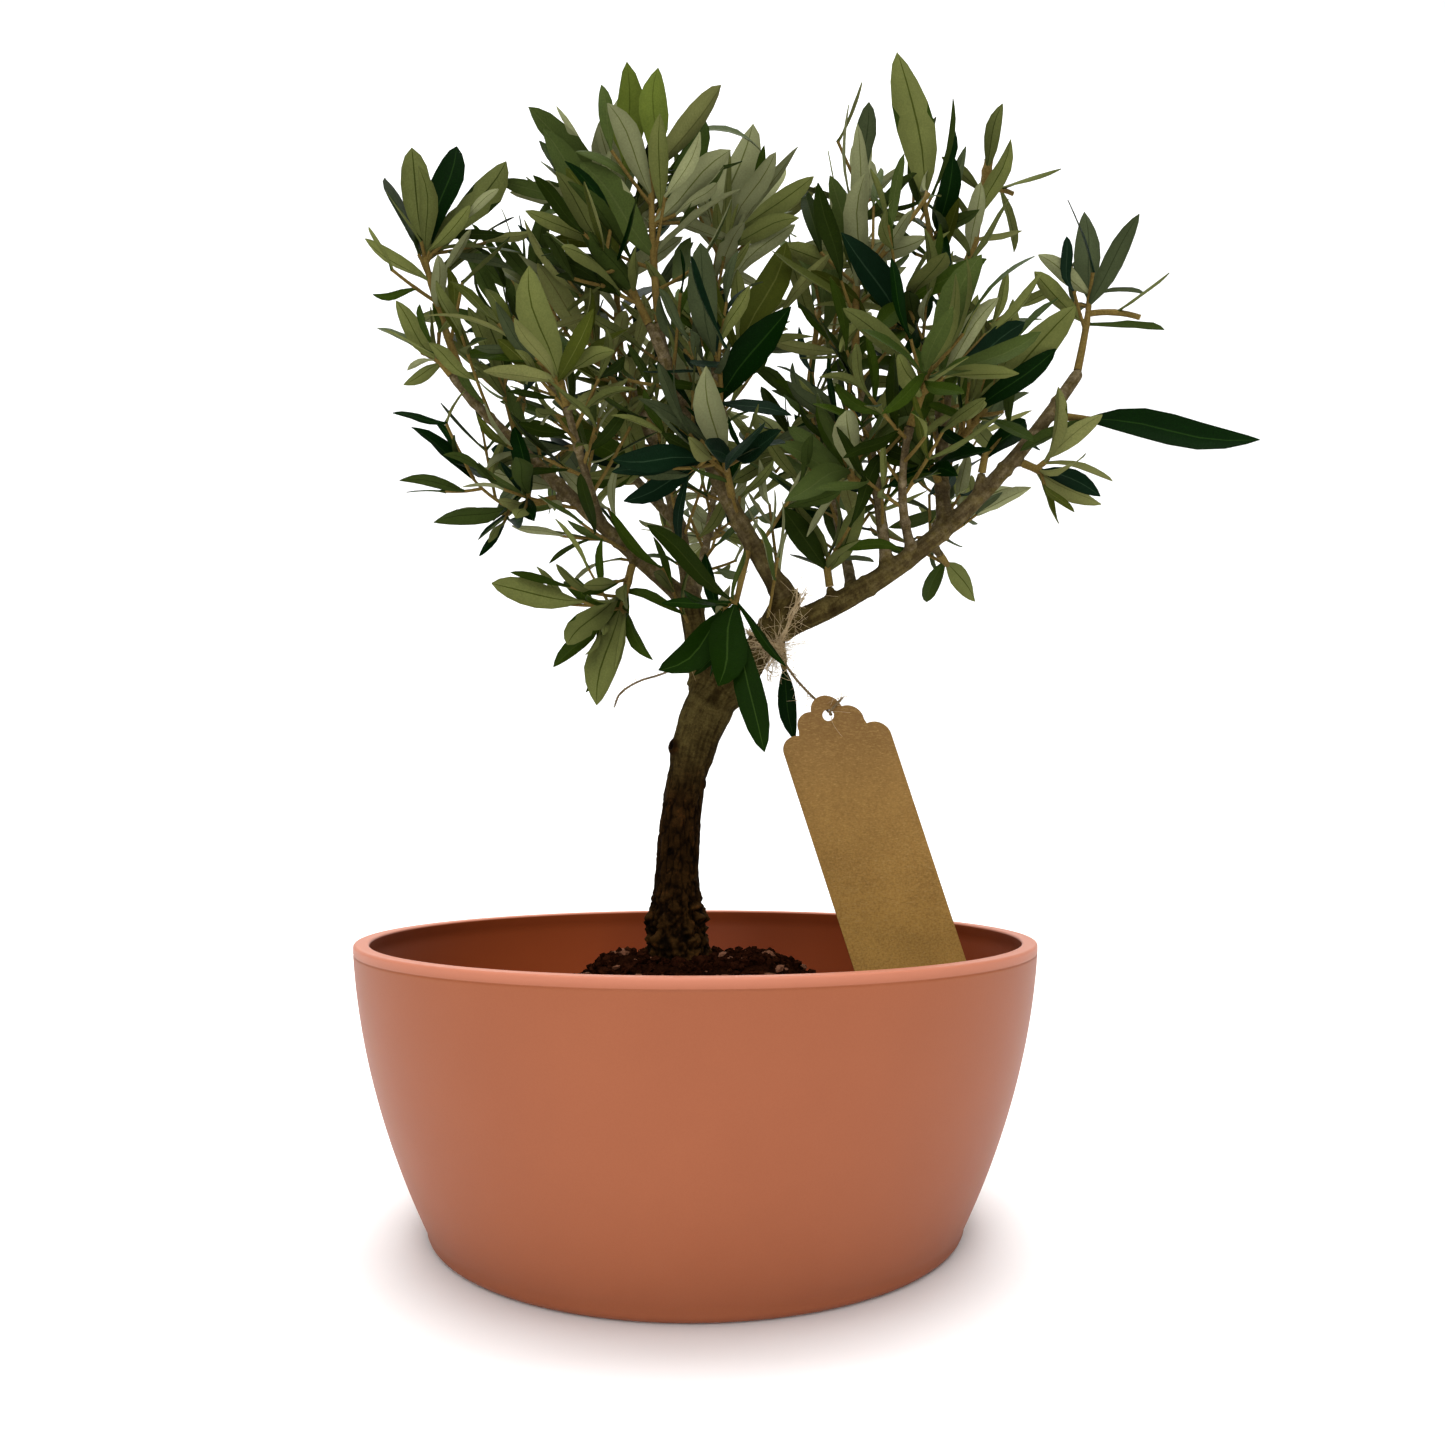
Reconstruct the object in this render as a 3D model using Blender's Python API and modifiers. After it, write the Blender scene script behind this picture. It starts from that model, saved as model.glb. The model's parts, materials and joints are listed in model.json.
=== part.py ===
"""An olive bonsai in a round bowl, with a paper gift tag tied into its fork.

Metres, +Z up. The origin is on the floor, under the middle of the bowl. +X is to the right of the tree's face
and -Y is towards whoever looks at that face.
"""

import math
import random
from dataclasses import dataclass

import bmesh
import bpy
from mathutils import Matrix, Vector, noise
from mathutils.bvhtree import BVHTree

MM = 0.001
CLEAR = 0.3 * MM  # between two separate pieces that meet

# The bowl is turned. Its wall swells out fast above the foot and is almost upright at the lip.
BOWL_RADIUS = 125.0 * MM
BOWL_HEIGHT = 102.5 * MM
BOWL_SLANT = 7.5 * MM  # how much of the swelling is an even slope
BOWL_BELLY = 22.0 * MM  # how much of it is a curve
BOWL_WALL = 4.0 * MM
BOWL_FLOOR = 4.0 * MM
BOWL_FOOT_ROUND = 4.0 * MM
LIP_WIDTH = 5.4 * MM
LIP_HEIGHT = 2.6 * MM
BOWL_STEPS = 32
WALL_HEIGHTS = (44.0 * MM, 71.5 * MM)  # where the wall's inside is creased, the upper one at the soil's edge
OUTSIDE_HEIGHTS = (82.0 * MM, 62.0 * MM, 44.0 * MM, 28.0 * MM, 14.0 * MM, BOWL_FOOT_ROUND)
LIP_SECTION = ((1.0, 0.7), (0.86, 0.1), (0.5, 0.0), (0.16, 0.3), (0.0, 1.0))  # shares of its width and height

# The soil is low round the wall and heaped where the nursery root ball stands.
GROUND = 93.8 * MM  # where the trunk is cut flat
SOIL_SEAT_RADIUS = 26.0 * MM
SOIL_HEAP_RADIUS = 72.0 * MM
SOIL_EDGE_DROP = 22.0 * MM  # from the seat down to the soil at the wall
SOIL_TOP_RADII = (37.0 * MM, 48.0 * MM, 60.0 * MM, 72.0 * MM, 94.0 * MM)
SOIL_LUMP = 1.6 * MM
SOIL_LUMPS_TO_METRE = 70.0
SOIL_STEPS = BOWL_STEPS  # so that its corners follow the bowl's

# Wood
TRUNK_FOOT = Vector((-7.6 * MM, 0.0, GROUND))
ROOT_FLARE = 4.2 * MM  # what the flare adds to the trunk's radius at the ground
ROOT_FLARE_HEIGHT = 0.13  # share of the trunk over which the flare fades
TRUNK_RINGS = (0.0, 0.05, 0.14, 0.3, 0.5, 0.7, 0.86, 1.0)
BOUGH_RINGS = (0.0, 0.25, 0.5, 0.75, 1.0)
SLIM = 8.5  # boughs less wide than this, in mm, are drawn with six sides
LEAST_SPUR = 1.5 * MM
LEAST_LEAN = 0.35  # sine of the least angle between a child and its parent that the spur allows for
KNUCKLE = 1.04  # radius of the ball where a limb forks, over the limb's own
FORK_ROOM = 1.22  # how far forked limbs start from each other, over just touching
SPUR_SWELL = 1.12  # how much thicker a spur is inside its parent than at its end
STEEPEST_END = 1.4  # radians: a child at its parent's tip that turns more than this doesn't start further out
TIP_STATION = 0.99  # past this share of its parent's length, a child goes on from the parent's tip
SAME_STATION = 0.02  # children nearer to each other than this start side by side

# Foliage
STEM_RADIUS = 1.6 * MM
TWIG_END_RADIUS = 0.9 * MM
LEAF_WIDTH_SHARE = 0.28  # of the leaf's length
LEAF_THICKNESS = 1.3 * MM
LEAF_THICKEST = 0.26  # share of the length
LEAF_SHOULDERS = (0.32, 0.68)  # between these shares of the length the leaf is widest
LEAF_BASE_WIDTH = 0.85  # width at the lower shoulder over that at the upper one
NODE_SPACING = 11.5 * MM
GOLDEN_ANGLE = math.radians(137.5)
GUARD = 0.7 * MM  # room that a leaf keeps to other pieces, all round
TWIG_ROOM = 2.4 * MM  # room that a side twig's middle line keeps to them
LEAST_LEAF = 21.0 * MM
LEAF_NECK = 0.13  # share of a leaf's length, at its root, that may touch its own mass
LEAF_SUNK = 1.0 * MM  # how far a leaf's root lies behind the twig's middle line
SIDE_BARE = 0.3  # share of a side shoot that has no leaves
TWIG_RING_SPACING = 30.0 * MM
LEAST_STEM = 8.0 * MM
TIP_TWIG = 10.0 * MM  # usual length of the twig under a leaf that ends the mass
TIP_STATIONS = (0.35, 0.5, 0.65, 0.8, 0.92)  # where on the stem such a twig may start

# The gift tag leans in the bowl and hangs from the fork.
TAG_WIDTH = 39.4 * MM
TAG_FOOT = 74.8 * MM  # height at which it is cut off level, just above the soil
TAG_THICKNESS = 0.8 * MM
TAG_EYE = Vector((48.5, -21.0, 184.2)) * MM  # the middle of its hole
TAG_EYE_RADIUS = 2.1 * MM
TAG_EYE_CORNERS = 12
TAG_EYE_DROP = 7.6 * MM  # from the tag's top edge to its hole
TAG_SLANT = math.radians(17.5)  # how far its foot swings to the right
TAG_RECLINE = math.radians(-1.0)  # how far its foot stands behind its head
TAG_LOBES = (  # middle, its drop from the top edge and radius in mm, and the angles between which the lobe runs
    (-14.3, 18.6, 5.7, 180, 73),
    (-6.7, 10.6, 5.5, 188, 80),
    (0.0, 5.7, 5.7, 165, 15),
    (6.7, 10.6, 5.5, 100, -8),
    (14.3, 18.6, 5.7, 107, 0),
)
TAG_LOBE_STEPS = 4
TAG_SKEW = 0.12  # how much lower the head's lobes stand for each step to the right
TWINE_RADIUS = 0.7 * MM
TWINE_STATION = 0.58  # share of the right limb at which it is wound round
TWINE_STEPS = 10
TWINE_FRONT = Vector((0.9, -0.8, -0.2))  # the side of the limb on which the knot sits
TWINE_END = (7.1 * MM, 4.6 * MM)  # how far right of the tag's hole and above it the lead ends
KNOT_RADIUS = 2.2 * MM


# The side that a leaf shows to whoever looks at the tree's face
DARK, PALE, EDGE = 1, -1, 0


@dataclass
class Limb:
    """One tapering limb that springs from its parent at a share of the parent's length."""

    name: str
    parent: str
    station: float
    bend: tuple
    tip: tuple
    foot_width: float
    tip_width: float
    foot: Vector = None
    flare: float = 0.0

    def point(self, t):
        """A place on the middle line: the curve that leaves the foot towards the bend and ends at the tip."""
        bend, tip = Vector(self.bend) * MM, Vector(self.tip) * MM
        return self.foot * (1 - t) ** 2 + bend * 2 * t * (1 - t) + tip * t**2

    def heading(self, t):
        """The unit direction of the middle line there."""
        bend, tip = Vector(self.bend) * MM, Vector(self.tip) * MM
        return ((bend - self.foot) * (1 - t) + (tip - bend) * t).normalized()

    def radius(self, t):
        """An even taper, plus a root flare that fades up the limb."""
        even = (self.foot_width * (1 - t) + self.tip_width * t) * MM / 2
        return even + self.flare * math.exp(-t / ROOT_FLARE_HEIGHT)

    def rings(self):
        """The shares of its length at which its drawn rings stand."""
        return BOUGH_RINGS if self.parent else TRUNK_RINGS

    def drawn(self, t):
        """A place on the middle line as it is drawn, straight from ring to ring."""
        rings = self.rings()
        index = next(i for i in range(len(rings) - 1) if t <= rings[i + 1])
        share = (t - rings[index]) / (rings[index + 1] - rings[index])
        return self.point(rings[index]).lerp(self.point(rings[index + 1]), share)


@dataclass
class Mass:
    """One mass of foliage: a stem that leads to its first tip, twigs to its other tips, side twigs and leaves.

    A tip is the place of a leaf's point, that leaf's length and the side that it shows. A length of 0 is a bare
    cut twig.
    """

    name: str
    parent: str
    station: float
    tips: tuple
    leaf: float  # the other leaves' usual length
    extra: int  # side twigs besides those that lead to the tips
    seed: int
    girth: float = 30.0  # how far from the lines to its tips anything may reach
    bare: float = 0.25  # share of the stem that has no leaves
    foot: Vector = None

    def ends(self):
        """The tips' places."""
        return [Vector(tip[:3]) * MM for tip in self.tips]


WOOD = (
    Limb("trunk", "", 0.0, (-10.5, 0.0, 162.0), (5.0, 0.0, 190.5), 15.8, 17.4, TRUNK_FOOT, ROOT_FLARE),
    Limb("left_limb", "trunk", 1.0, (-0.5, 2.5, 214.0), (-3.0, 5.0, 231.0), 10.5, 9.4),
    Limb("right_limb", "trunk", 1.0, (19.0, -4.0, 203.0), (34.3, -8.0, 230.0), 12.8, 10.6),
    Limb("far_left_bough", "left_limb", 1.0, (-42.0, -10.0, 262.0), (-83.0, -25.0, 301.0), 6.8, 4.0),
    Limb("left_upright", "left_limb", 1.0, (-11.0, 21.0, 292.0), (-33.0, 29.0, 336.0), 6.4, 4.0),
    Limb("rear_left_bough", "left_upright", 0.24, (-30.0, 48.0, 296.0), (-66.0, 55.0, 338.0), 4.6, 3.2),
    Limb("back_bough", "left_limb", 1.0, (2.0, 50.0, 258.0), (6.0, 84.0, 304.0), 5.2, 3.2),
    Limb("mid_bough", "right_limb", 1.0, (8.0, -20.0, 268.0), (-12.5, -30.0, 318.0), 7.8, 4.4),
    Limb("mid_upright", "mid_bough", 0.52, (10.5, -6.0, 302.0), (4.0, 1.0, 344.0), 5.4, 3.8),
    Limb("right_bough", "right_limb", 0.72, (101.0, -10.0, 249.0), (144.0, -20.0, 314.0), 9.2, 4.8),
    Limb("inner_right_upright", "right_bough", 0.27, (69.0, -16.0, 268.0), (60.0, -22.0, 322.0), 4.8, 3.4),
    Limb("right_upright", "right_bough", 0.48, (95.0, 6.0, 300.0), (107.0, 15.0, 352.0), 6.0, 4.2),
    Limb("rear_right_bough", "right_bough", 0.15, (59.0, 38.0, 276.0), (48.0, 50.0, 336.0), 4.8, 3.2),
    Limb("back_right_bough", "right_bough", 0.40, (101.0, 50.0, 262.0), (114.0, 80.0, 306.0), 4.6, 3.0),
    Limb("front_left_bough", "far_left_bough", 0.40, (-42.0, -34.0, 276.0), (-46.0, -42.0, 292.0), 3.8, 3.0),
    Limb("front_right_bough", "right_bough", 0.36, (72.0, -36.0, 264.0), (76.0, -44.0, 284.0), 4.0, 3.0),
)

FOLIAGE = (
    Mass("far_left_crest", "far_left_bough", 1.0,
         ((-108, -30, 399, 38, PALE), (-90, -34, 397, 37, DARK), (-118, -30, 387, 33, EDGE),
          (-73, -26, 396, 41, PALE)),
         34, 0, 147, 24, 0.35),
    Mass("far_left_spray", "far_left_bough", 1.0,
         ((-110, -38, 335, 25, PALE), (-107, -36, 304, 22, PALE), (-121, -24, 331, 22, EDGE)), 24, 1, 129, 22),
    Mass("far_left_low_spray", "far_left_bough", 0.56,
         ((-98, -24, 256, 28, PALE), (-62, -50, 272, 26, DARK), (-79, -20, 282, 26, EDGE),
          (-106, -28, 291, 28, EDGE)),
         32, 0, 212),
    Mass("left_hanging_spray", "far_left_bough", 0.22,
         ((-36, -30, 187, 42, PALE), (-46, -36, 208, 34, PALE), (-76, -24, 233, 34, PALE)), 34, 1, 188, 26, 0.1),
    Mass("front_left_spray", "front_left_bough", 1.0,
         ((-58, -58, 338, 40, PALE), (-70, -50, 315, 24, DARK)), 36, 2, 171),
    Mass("upper_left_crest", "left_upright", 1.0,
         ((-28, -18, 442, 47, PALE), (-66, -20, 422, 40, DARK), (-60, 0, 419, 32, PALE)), 42, 2, 116, 30, 0.2),
    Mass("inner_left_spray", "left_upright", 0.62, ((-66, 6, 372, 38, PALE), (-30, 2, 330, 36, DARK)), 38, 2, 164),
    Mass("rear_left_crest", "rear_left_bough", 1.0, ((-84, 46, 404, 44, PALE),), 42, 3, 152, 34),
    Mass("rear_left_spray", "rear_left_bough", 0.62, ((-98, 76, 318, 42, DARK),), 40, 2, 226, 32),
    Mass("back_crest", "back_bough", 1.0, ((-14, 88, 384, 44, PALE),), 42, 3, 207, 34),
    Mass("back_low_spray", "back_bough", 0.6, ((14, 122, 292, 42, DARK),), 40, 2, 163, 32),
    Mass("mid_crest", "mid_bough", 1.0,
         ((-15, -30, 431, 36, PALE), (3, -30, 410, 35, DARK), (12, -20, 403, 36, PALE), (-43, -40, 387, 44, DARK)),
         42, 1, 116, 28, 0.3),
    Mass("mid_left_spray", "mid_bough", 1.0, ((-47, -48, 380, 37, DARK), (-38, -54, 353, 34, PALE)), 38, 2, 141),
    Mass("mid_front_spray", "mid_bough", 0.7, ((34, -48, 328, 44, DARK), (2, -70, 340, 38, PALE)), 36, 1, 169),
    Mass("centre_spray", "mid_bough", 0.36, ((4, -72, 296, 40, PALE), (-28, -60, 268, 34, DARK)), 38, 2, 131),
    Mass("front_hanging_spray", "mid_bough", 0.22,
         ((8, -46, 192, 36, DARK), (24, -46, 169, 50, DARK), (-13, -42, 198, 34, DARK), (-17, -46, 249, 40, DARK)),
         30, 0, 132, 22, 0.8),
    Mass("limb_hanging_spray", "right_limb", 0.86, ((37, -8, 176, 34, DARK),), 30, 0, 214, 14, 0.85),
    Mass("mid_right_crest", "mid_upright", 1.0, ((22, 0, 428, 50, PALE), (46, -6, 402, 34, PALE)), 44, 2, 189),
    Mass("mid_right_spray", "mid_upright", 0.55, ((34, -22, 366, 42, DARK), (44, -30, 330, 36, PALE)), 40, 1, 213),
    Mass("inner_right_crest", "inner_right_upright", 1.0,
         ((70, 8, 431, 34, PALE), (50, -30, 388, 40, DARK)), 42, 2, 127),
    Mass("inner_right_spray", "inner_right_upright", 0.42,
         ((30, -30, 284, 38, DARK), (52, -58, 286, 34, PALE)), 36, 1, 206),
    Mass("right_crest", "right_upright", 1.0,
         ((123, 20, 427, 0, EDGE), (133, 22, 411, 0, EDGE), (116, 8, 408, 28, PALE)), 34, 1, 212, 22, 0.3),
    Mass("top_leaf_spray", "right_upright", 0.84,
         ((81, 0, 459, 60, PALE), (100, -14, 406, 28, DARK)), 40, 1, 104, 26, 0.35),
    Mass("right_front_spray", "right_upright", 0.5,
         ((57, -28, 390, 52, DARK), (53, -40, 360, 44, DARK), (88, -56, 344, 36, PALE)), 38, 1, 125),
    Mass("right_side_spray", "right_upright", 0.3,
         ((138, -40, 332, 47, PALE), (120, 2, 338, 38, DARK)), 38, 2, 143),
    Mass("far_right_crest", "right_bough", 1.0,
         ((153, -8, 386, 40, PALE), (163, -8, 391, 42, PALE), (161, -20, 368, 39, EDGE), (169, -20, 337, 0, EDGE)),
         34, 0, 115, 20, 0.4),
    Mass("far_right_flag", "right_bough", 0.88, ((203, -40, 282, 60, DARK),), 30, 0, 162, 22, 0.6),
    Mass("right_low_spray", "right_bough", 0.74,
         ((147, -34, 263, 34, DARK), (152, -20, 264, 36, PALE), (150, -30, 295, 24, PALE)), 34, 0, 154, 24),
    Mass("under_right_spray", "right_bough", 0.42,
         ((115, 30, 237, 34, PALE), (94, 26, 236, 30, DARK)), 30, 0, 222, 24, 0.8),
    Mass("front_right_spray", "front_right_bough", 1.0,
         ((98, -66, 338, 42, DARK), (68, -72, 300, 34, PALE)), 40, 2, 179),
    Mass("rear_right_crest", "rear_right_bough", 1.0, ((66, 56, 420, 44, DARK),), 42, 2, 225, 34),
    Mass("rear_right_spray", "rear_right_bough", 0.55, ((24, 84, 338, 42, PALE),), 40, 2, 108, 32),
    Mass("back_right_crest", "back_right_bough", 1.0, ((134, 84, 376, 44, DARK),), 42, 3, 140, 34),
    Mass("back_right_spray", "back_right_bough", 0.55, ((142, 70, 298, 42, PALE),), 38, 1, 214, 26),
    Mass("lower_left_spray", "left_upright", 0.42,
         ((-52, 4, 302, 34, DARK), (-36, 6, 320, 34, PALE), (-26, 6, 300, 30, PALE)), 30, 1, 292, 22, 0.2),
    Mass("left_inner_spray", "far_left_bough", 0.8,
         ((-84, -16, 345, 36, PALE), (-76, -12, 322, 32, DARK)), 32, 1, 205, 20),
    Mass("centre_right_spray", "inner_right_upright", 0.6,
         ((38, -12, 318, 34, PALE), (46, -6, 298, 30, DARK)), 30, 1, 185, 22, 0.2),
    Mass("low_centre_spray", "right_bough", 0.08,
         ((44, -22, 274, 34, PALE), (62, -26, 264, 34, PALE), (32, -22, 262, 30, DARK)), 30, 1, 223, 22, 0.15),
    Mass("right_inner_spray", "right_upright", 0.12,
         ((80, -28, 294, 34, PALE), (72, -18, 272, 32, DARK), (98, -26, 278, 30, PALE)), 30, 1, 120, 22, 0.15),
    Mass("right_middle_spray", "right_bough", 0.6,
         ((112, -24, 302, 34, PALE), (128, -6, 302, 32, DARK)), 30, 1, 102, 22, 0.2),
)


def clear_scene():
    for obj in list(bpy.data.objects):
        bpy.data.objects.remove(obj)


def collection(name, hidden=False):
    made = bpy.data.collections.new(name)
    bpy.context.scene.collection.children.link(made)
    made.hide_render = hidden
    return made


def finish_material(name, colour, roughness):
    material = bpy.data.materials.new(name)
    material.use_nodes = True
    shader = material.node_tree.nodes["Principled BSDF"]
    shader.inputs["Base Color"].default_value = (*colour, 1.0)
    shader.inputs["Roughness"].default_value = roughness
    shader.inputs["Metallic"].default_value = 0.0
    return material


def mesh_object(name, mesh, home, material=None):
    obj = bpy.data.objects.new(name, mesh)
    home.objects.link(obj)
    if material:
        mesh.materials.clear()
        mesh.materials.append(material)
    return obj


def as_mesh(obj, name, home, material=None, weld=0.001 * MM):
    """The object as it is now drawn, as a plain mesh object whose loose caps are welded. The source is removed."""
    bpy.context.view_layer.update()
    graph = bpy.context.evaluated_depsgraph_get()
    mesh = bpy.data.meshes.new_from_object(obj.evaluated_get(graph))
    mesh.transform(obj.matrix_world)
    bm = bmesh.new()
    bm.from_mesh(mesh)
    if weld:
        bmesh.ops.remove_doubles(bm, verts=bm.verts, dist=weld)
        bmesh.ops.recalc_face_normals(bm, faces=bm.faces)
    bm.to_mesh(mesh)
    bm.free()
    bpy.data.objects.remove(obj)
    return mesh_object(name, mesh, home, material)


def tube(name, points, radii, home, sides=8, section=None):
    """A tapering round tube, or a three-sided one where a section object is given."""
    curve = bpy.data.curves.new(name, "CURVE")
    curve.dimensions = "3D"
    curve.use_fill_caps = True
    if section:
        curve.bevel_mode = "OBJECT"
        curve.bevel_object = section
    else:
        curve.bevel_depth = 1.0
        curve.bevel_resolution = (sides - 4) // 2
    spline = curve.splines.new("POLY")
    spline.points.add(len(points) - 1)
    for place, at, radius in zip(spline.points, points, radii):
        place.co = (*at, 1.0)
        place.radius = radius
    obj = bpy.data.objects.new(name, curve)
    home.objects.link(obj)
    return as_mesh(obj, name, home)


def three_sides(home):
    """The section that twigs are drawn with."""
    curve = bpy.data.curves.new("three_sides", "CURVE")
    curve.dimensions = "2D"
    corners = curve.splines.new("POLY")
    corners.points.add(2)
    for index, place in enumerate(corners.points):
        angle = 2 * math.pi * index / 3
        place.co = (math.cos(angle), math.sin(angle), 0.0, 1.0)
    corners.use_cyclic_u = True
    section = bpy.data.objects.new("three_sides", curve)
    section.hide_render = True
    section.display_type = "WIRE"
    home.objects.link(section)
    return section


def union(first, others, name, home, material):
    """First joined with every object of the others' collection, which are then removed."""
    join = first.modifiers.new("join", "BOOLEAN")
    join.operation = "UNION"
    join.operand_type = "COLLECTION"
    join.collection = others
    join.solver = "EXACT"
    joined = as_mesh(first, name, home, material, weld=0.0)
    for obj in list(others.objects):
        bpy.data.objects.remove(obj)
    return joined


def turned(name, profile, steps, home, material):
    """A profile of (radius, height) pairs turned about +Z. It starts and ends on the axis, down the outside."""
    mesh = bpy.data.meshes.new(name)
    mesh.from_pydata([(r, 0.0, z) for r, z in profile], [(i, i + 1) for i in range(len(profile) - 1)], [])
    obj = mesh_object(name, mesh, home, material)
    screw = obj.modifiers.new("turn", "SCREW")
    screw.steps = screw.render_steps = steps
    screw.use_merge_vertices = True
    screw.merge_threshold = 0.00001
    screw.use_normal_calculate = False
    return obj


def bowl_radius(height):
    """Outer radius of the bowl's wall: an even slope plus a curve that fades towards the lip."""
    short = 1.0 - height / BOWL_HEIGHT
    return BOWL_RADIUS - BOWL_SLANT * short - BOWL_BELLY * short**2


def make_bowl(home, material):
    """The bowl, from the middle of its floor up the inside, over the lip and down to the middle of its foot."""
    inside = [(0.0, BOWL_FLOOR), (bowl_radius(BOWL_FLOOR) - BOWL_WALL - BOWL_FOOT_ROUND, BOWL_FLOOR)]
    heights = [BOWL_FLOOR + BOWL_FOOT_ROUND, *WALL_HEIGHTS]
    inside += [(bowl_radius(z) - BOWL_WALL, z) for z in heights]
    lip_outside = bowl_radius(BOWL_HEIGHT - LIP_HEIGHT)
    lip = [(lip_outside - LIP_WIDTH * share, BOWL_HEIGHT - LIP_HEIGHT * drop) for share, drop in LIP_SECTION]
    outside = [(bowl_radius(z), z) for z in OUTSIDE_HEIGHTS]
    foot = bowl_radius(0.0) - BOWL_FOOT_ROUND * 0.6
    outside += [(bowl_radius(0.0) - BOWL_FOOT_ROUND * 0.15, BOWL_FOOT_ROUND * 0.3), (foot, 0.0), (0.0, 0.0)]
    return turned("bowl", inside + lip + outside, BOWL_STEPS, home, material)


def soil_height(radius):
    """Height of the soil: flat at the seat, then falling off the heap like half a cosine wave."""
    share = min(1.0, max(0.0, (radius - SOIL_SEAT_RADIUS) / (SOIL_HEAP_RADIUS - SOIL_SEAT_RADIUS)))
    return GROUND - CLEAR - SOIL_EDGE_DROP * (1 - math.cos(math.pi * share)) / 2


def make_soil(home, material):
    """The soil, in one solid up to 0.3 mm from the bowl's wall and floor."""
    wall = BOWL_WALL + CLEAR * 1.6
    top = [(0.0, soil_height(0.0)), (SOIL_SEAT_RADIUS, soil_height(SOIL_SEAT_RADIUS))]
    top += [(radius, soil_height(radius)) for radius in SOIL_TOP_RADII]
    edge = soil_height(SOIL_HEAP_RADIUS)
    heights = [*reversed(WALL_HEIGHTS), BOWL_FLOOR + BOWL_FOOT_ROUND + CLEAR]
    side = [(bowl_radius(z) - wall, z) for z in heights]
    bottom = BOWL_FLOOR + CLEAR
    foot = bowl_radius(BOWL_FLOOR) - wall - BOWL_FOOT_ROUND
    turned_soil = turned("soil", top + side + [(foot, bottom), (0.0, bottom)], SOIL_STEPS, home, material)
    soil = as_mesh(turned_soil, "soil", home, material)
    for vertex in soil.data.vertices:
        radius = vertex.co.xy.length
        if SOIL_SEAT_RADIUS * 1.2 < radius < bowl_radius(edge) - wall - MM and vertex.co.z > edge - MM:
            vertex.co.z += SOIL_LUMP * noise.noise(vertex.co * SOIL_LUMPS_TO_METRE)
    return soil


def ball(middle, radius, home):
    """A coarse ball, for a knuckle where limbs fork or a knot in the twine."""
    bm = bmesh.new()
    bmesh.ops.create_uvsphere(bm, u_segments=6, v_segments=4, radius=radius)
    bmesh.ops.translate(bm, verts=bm.verts, vec=middle)
    return as_object(bm, "ball", home)


def siblings_of(child, others):
    """Those that start beside the child on the same parent."""
    mates = [other for other in others if other is not child and other.parent == child.parent]
    return [mate for mate in mates if abs(mate.station - child.station) < SAME_STATION]


def first_heading(child, limbs):
    """The way a child sets off: to its bend, or for a mass between its parent's line and its first tip."""
    parent = limbs[child.parent]
    start = parent.drawn(child.station)
    if isinstance(child, Limb):
        return (Vector(child.bend) * MM - start).normalized()
    to_peak = (child.ends()[0] - start).normalized()
    along = 0.5 if child.station > TIP_STATION else 0.0
    return (to_peak + parent.heading(child.station) * along).normalized()


def foot_radius(child):
    """Radius where a limb or a mass's stem starts."""
    return child.foot_width * MM / 2 if isinstance(child, Limb) else STEM_RADIUS


def spur_length(child, limbs, everyone):
    """How far from its parent's middle line a child starts, clear of the parent and of limbs beside it."""
    parent = limbs[child.parent]
    heading = first_heading(child, limbs)
    tilt = heading.angle(parent.heading(child.station))
    reach = parent.radius(child.station) + foot_radius(child) * abs(math.cos(tilt))
    out = reach / max(LEAST_LEAN, math.sin(tilt))
    if child.station > TIP_STATION:
        out = min(out, foot_radius(child) * math.tan(min(tilt, STEEPEST_END)))
    for other in siblings_of(child, everyone):
        out = max(out, parent.radius(child.station) * KNUCKLE)
        half = heading.angle(first_heading(other, limbs)) / 2
        out = max(out, FORK_ROOM * max(foot_radius(child), foot_radius(other)) / math.tan(half))
    return out + LEAST_SPUR


def place_feet(limbs):
    """Works out where each limb and mass starts, parents before children. Returns its start on its parent."""
    starts = {}
    everyone = list(WOOD) + list(FOLIAGE)
    for child in everyone:
        if child.parent:
            start = limbs[child.parent].drawn(child.station)
            heading = first_heading(child, limbs)
            child.foot = start + heading * spur_length(child, limbs, everyone)
            starts[child.name] = (start, heading)
    return starts


def foot_tilt(child, heading):
    """Sine of the angle between the way a child sets off and its first drawn stretch."""
    drawn = child if isinstance(child, Limb) else lead_shoot(child, heading)
    return math.sin(heading.angle(drawn.point(drawn.rings()[1]) - child.foot))


def make_limb(limb, starts, home, bits, material):
    """A limb with a spur for each child: the spur's flat end meets the child's flat foot, 0.3 mm clear."""
    points = [limb.point(t) for t in limb.rings()]
    radii = [limb.radius(t) for t in limb.rings()]
    body = tube(limb.name + "_body", points, radii, home, sides=6 if limb.foot_width < SLIM else 8)
    if not limb.parent:
        for vertex in body.data.vertices:
            if vertex.co.z < GROUND + MM:
                vertex.co.z = GROUND  # cut level, not square to the lean
    children = [c for c in list(WOOD) + list(FOLIAGE) if c.parent == limb.name]
    for child in children:
        start, heading = starts[child.name]
        thick = foot_radius(child)
        end = child.foot - heading * (CLEAR + thick * foot_tilt(child, heading))
        tube("spur", [start, end], [thick * SPUR_SWELL, thick], bits, sides=6 if thick < SLIM * MM / 2 else 8)
    if sum(child.station > TIP_STATION for child in children) > 1:
        ball(limb.point(1.0), limb.radius(1.0) * KNUCKLE, bits)
    return union(body, bits, limb.name, home, material)


def across(axis, turn):
    """A unit vector square to the axis, turned about it."""
    side = axis.cross(Vector((0.0, 0.0, 1.0)))
    if side.length < 0.05:
        side = axis.cross(Vector((0.0, 1.0, 0.0)))
    return Matrix.Rotation(turn, 3, axis) @ side.normalized()


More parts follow.
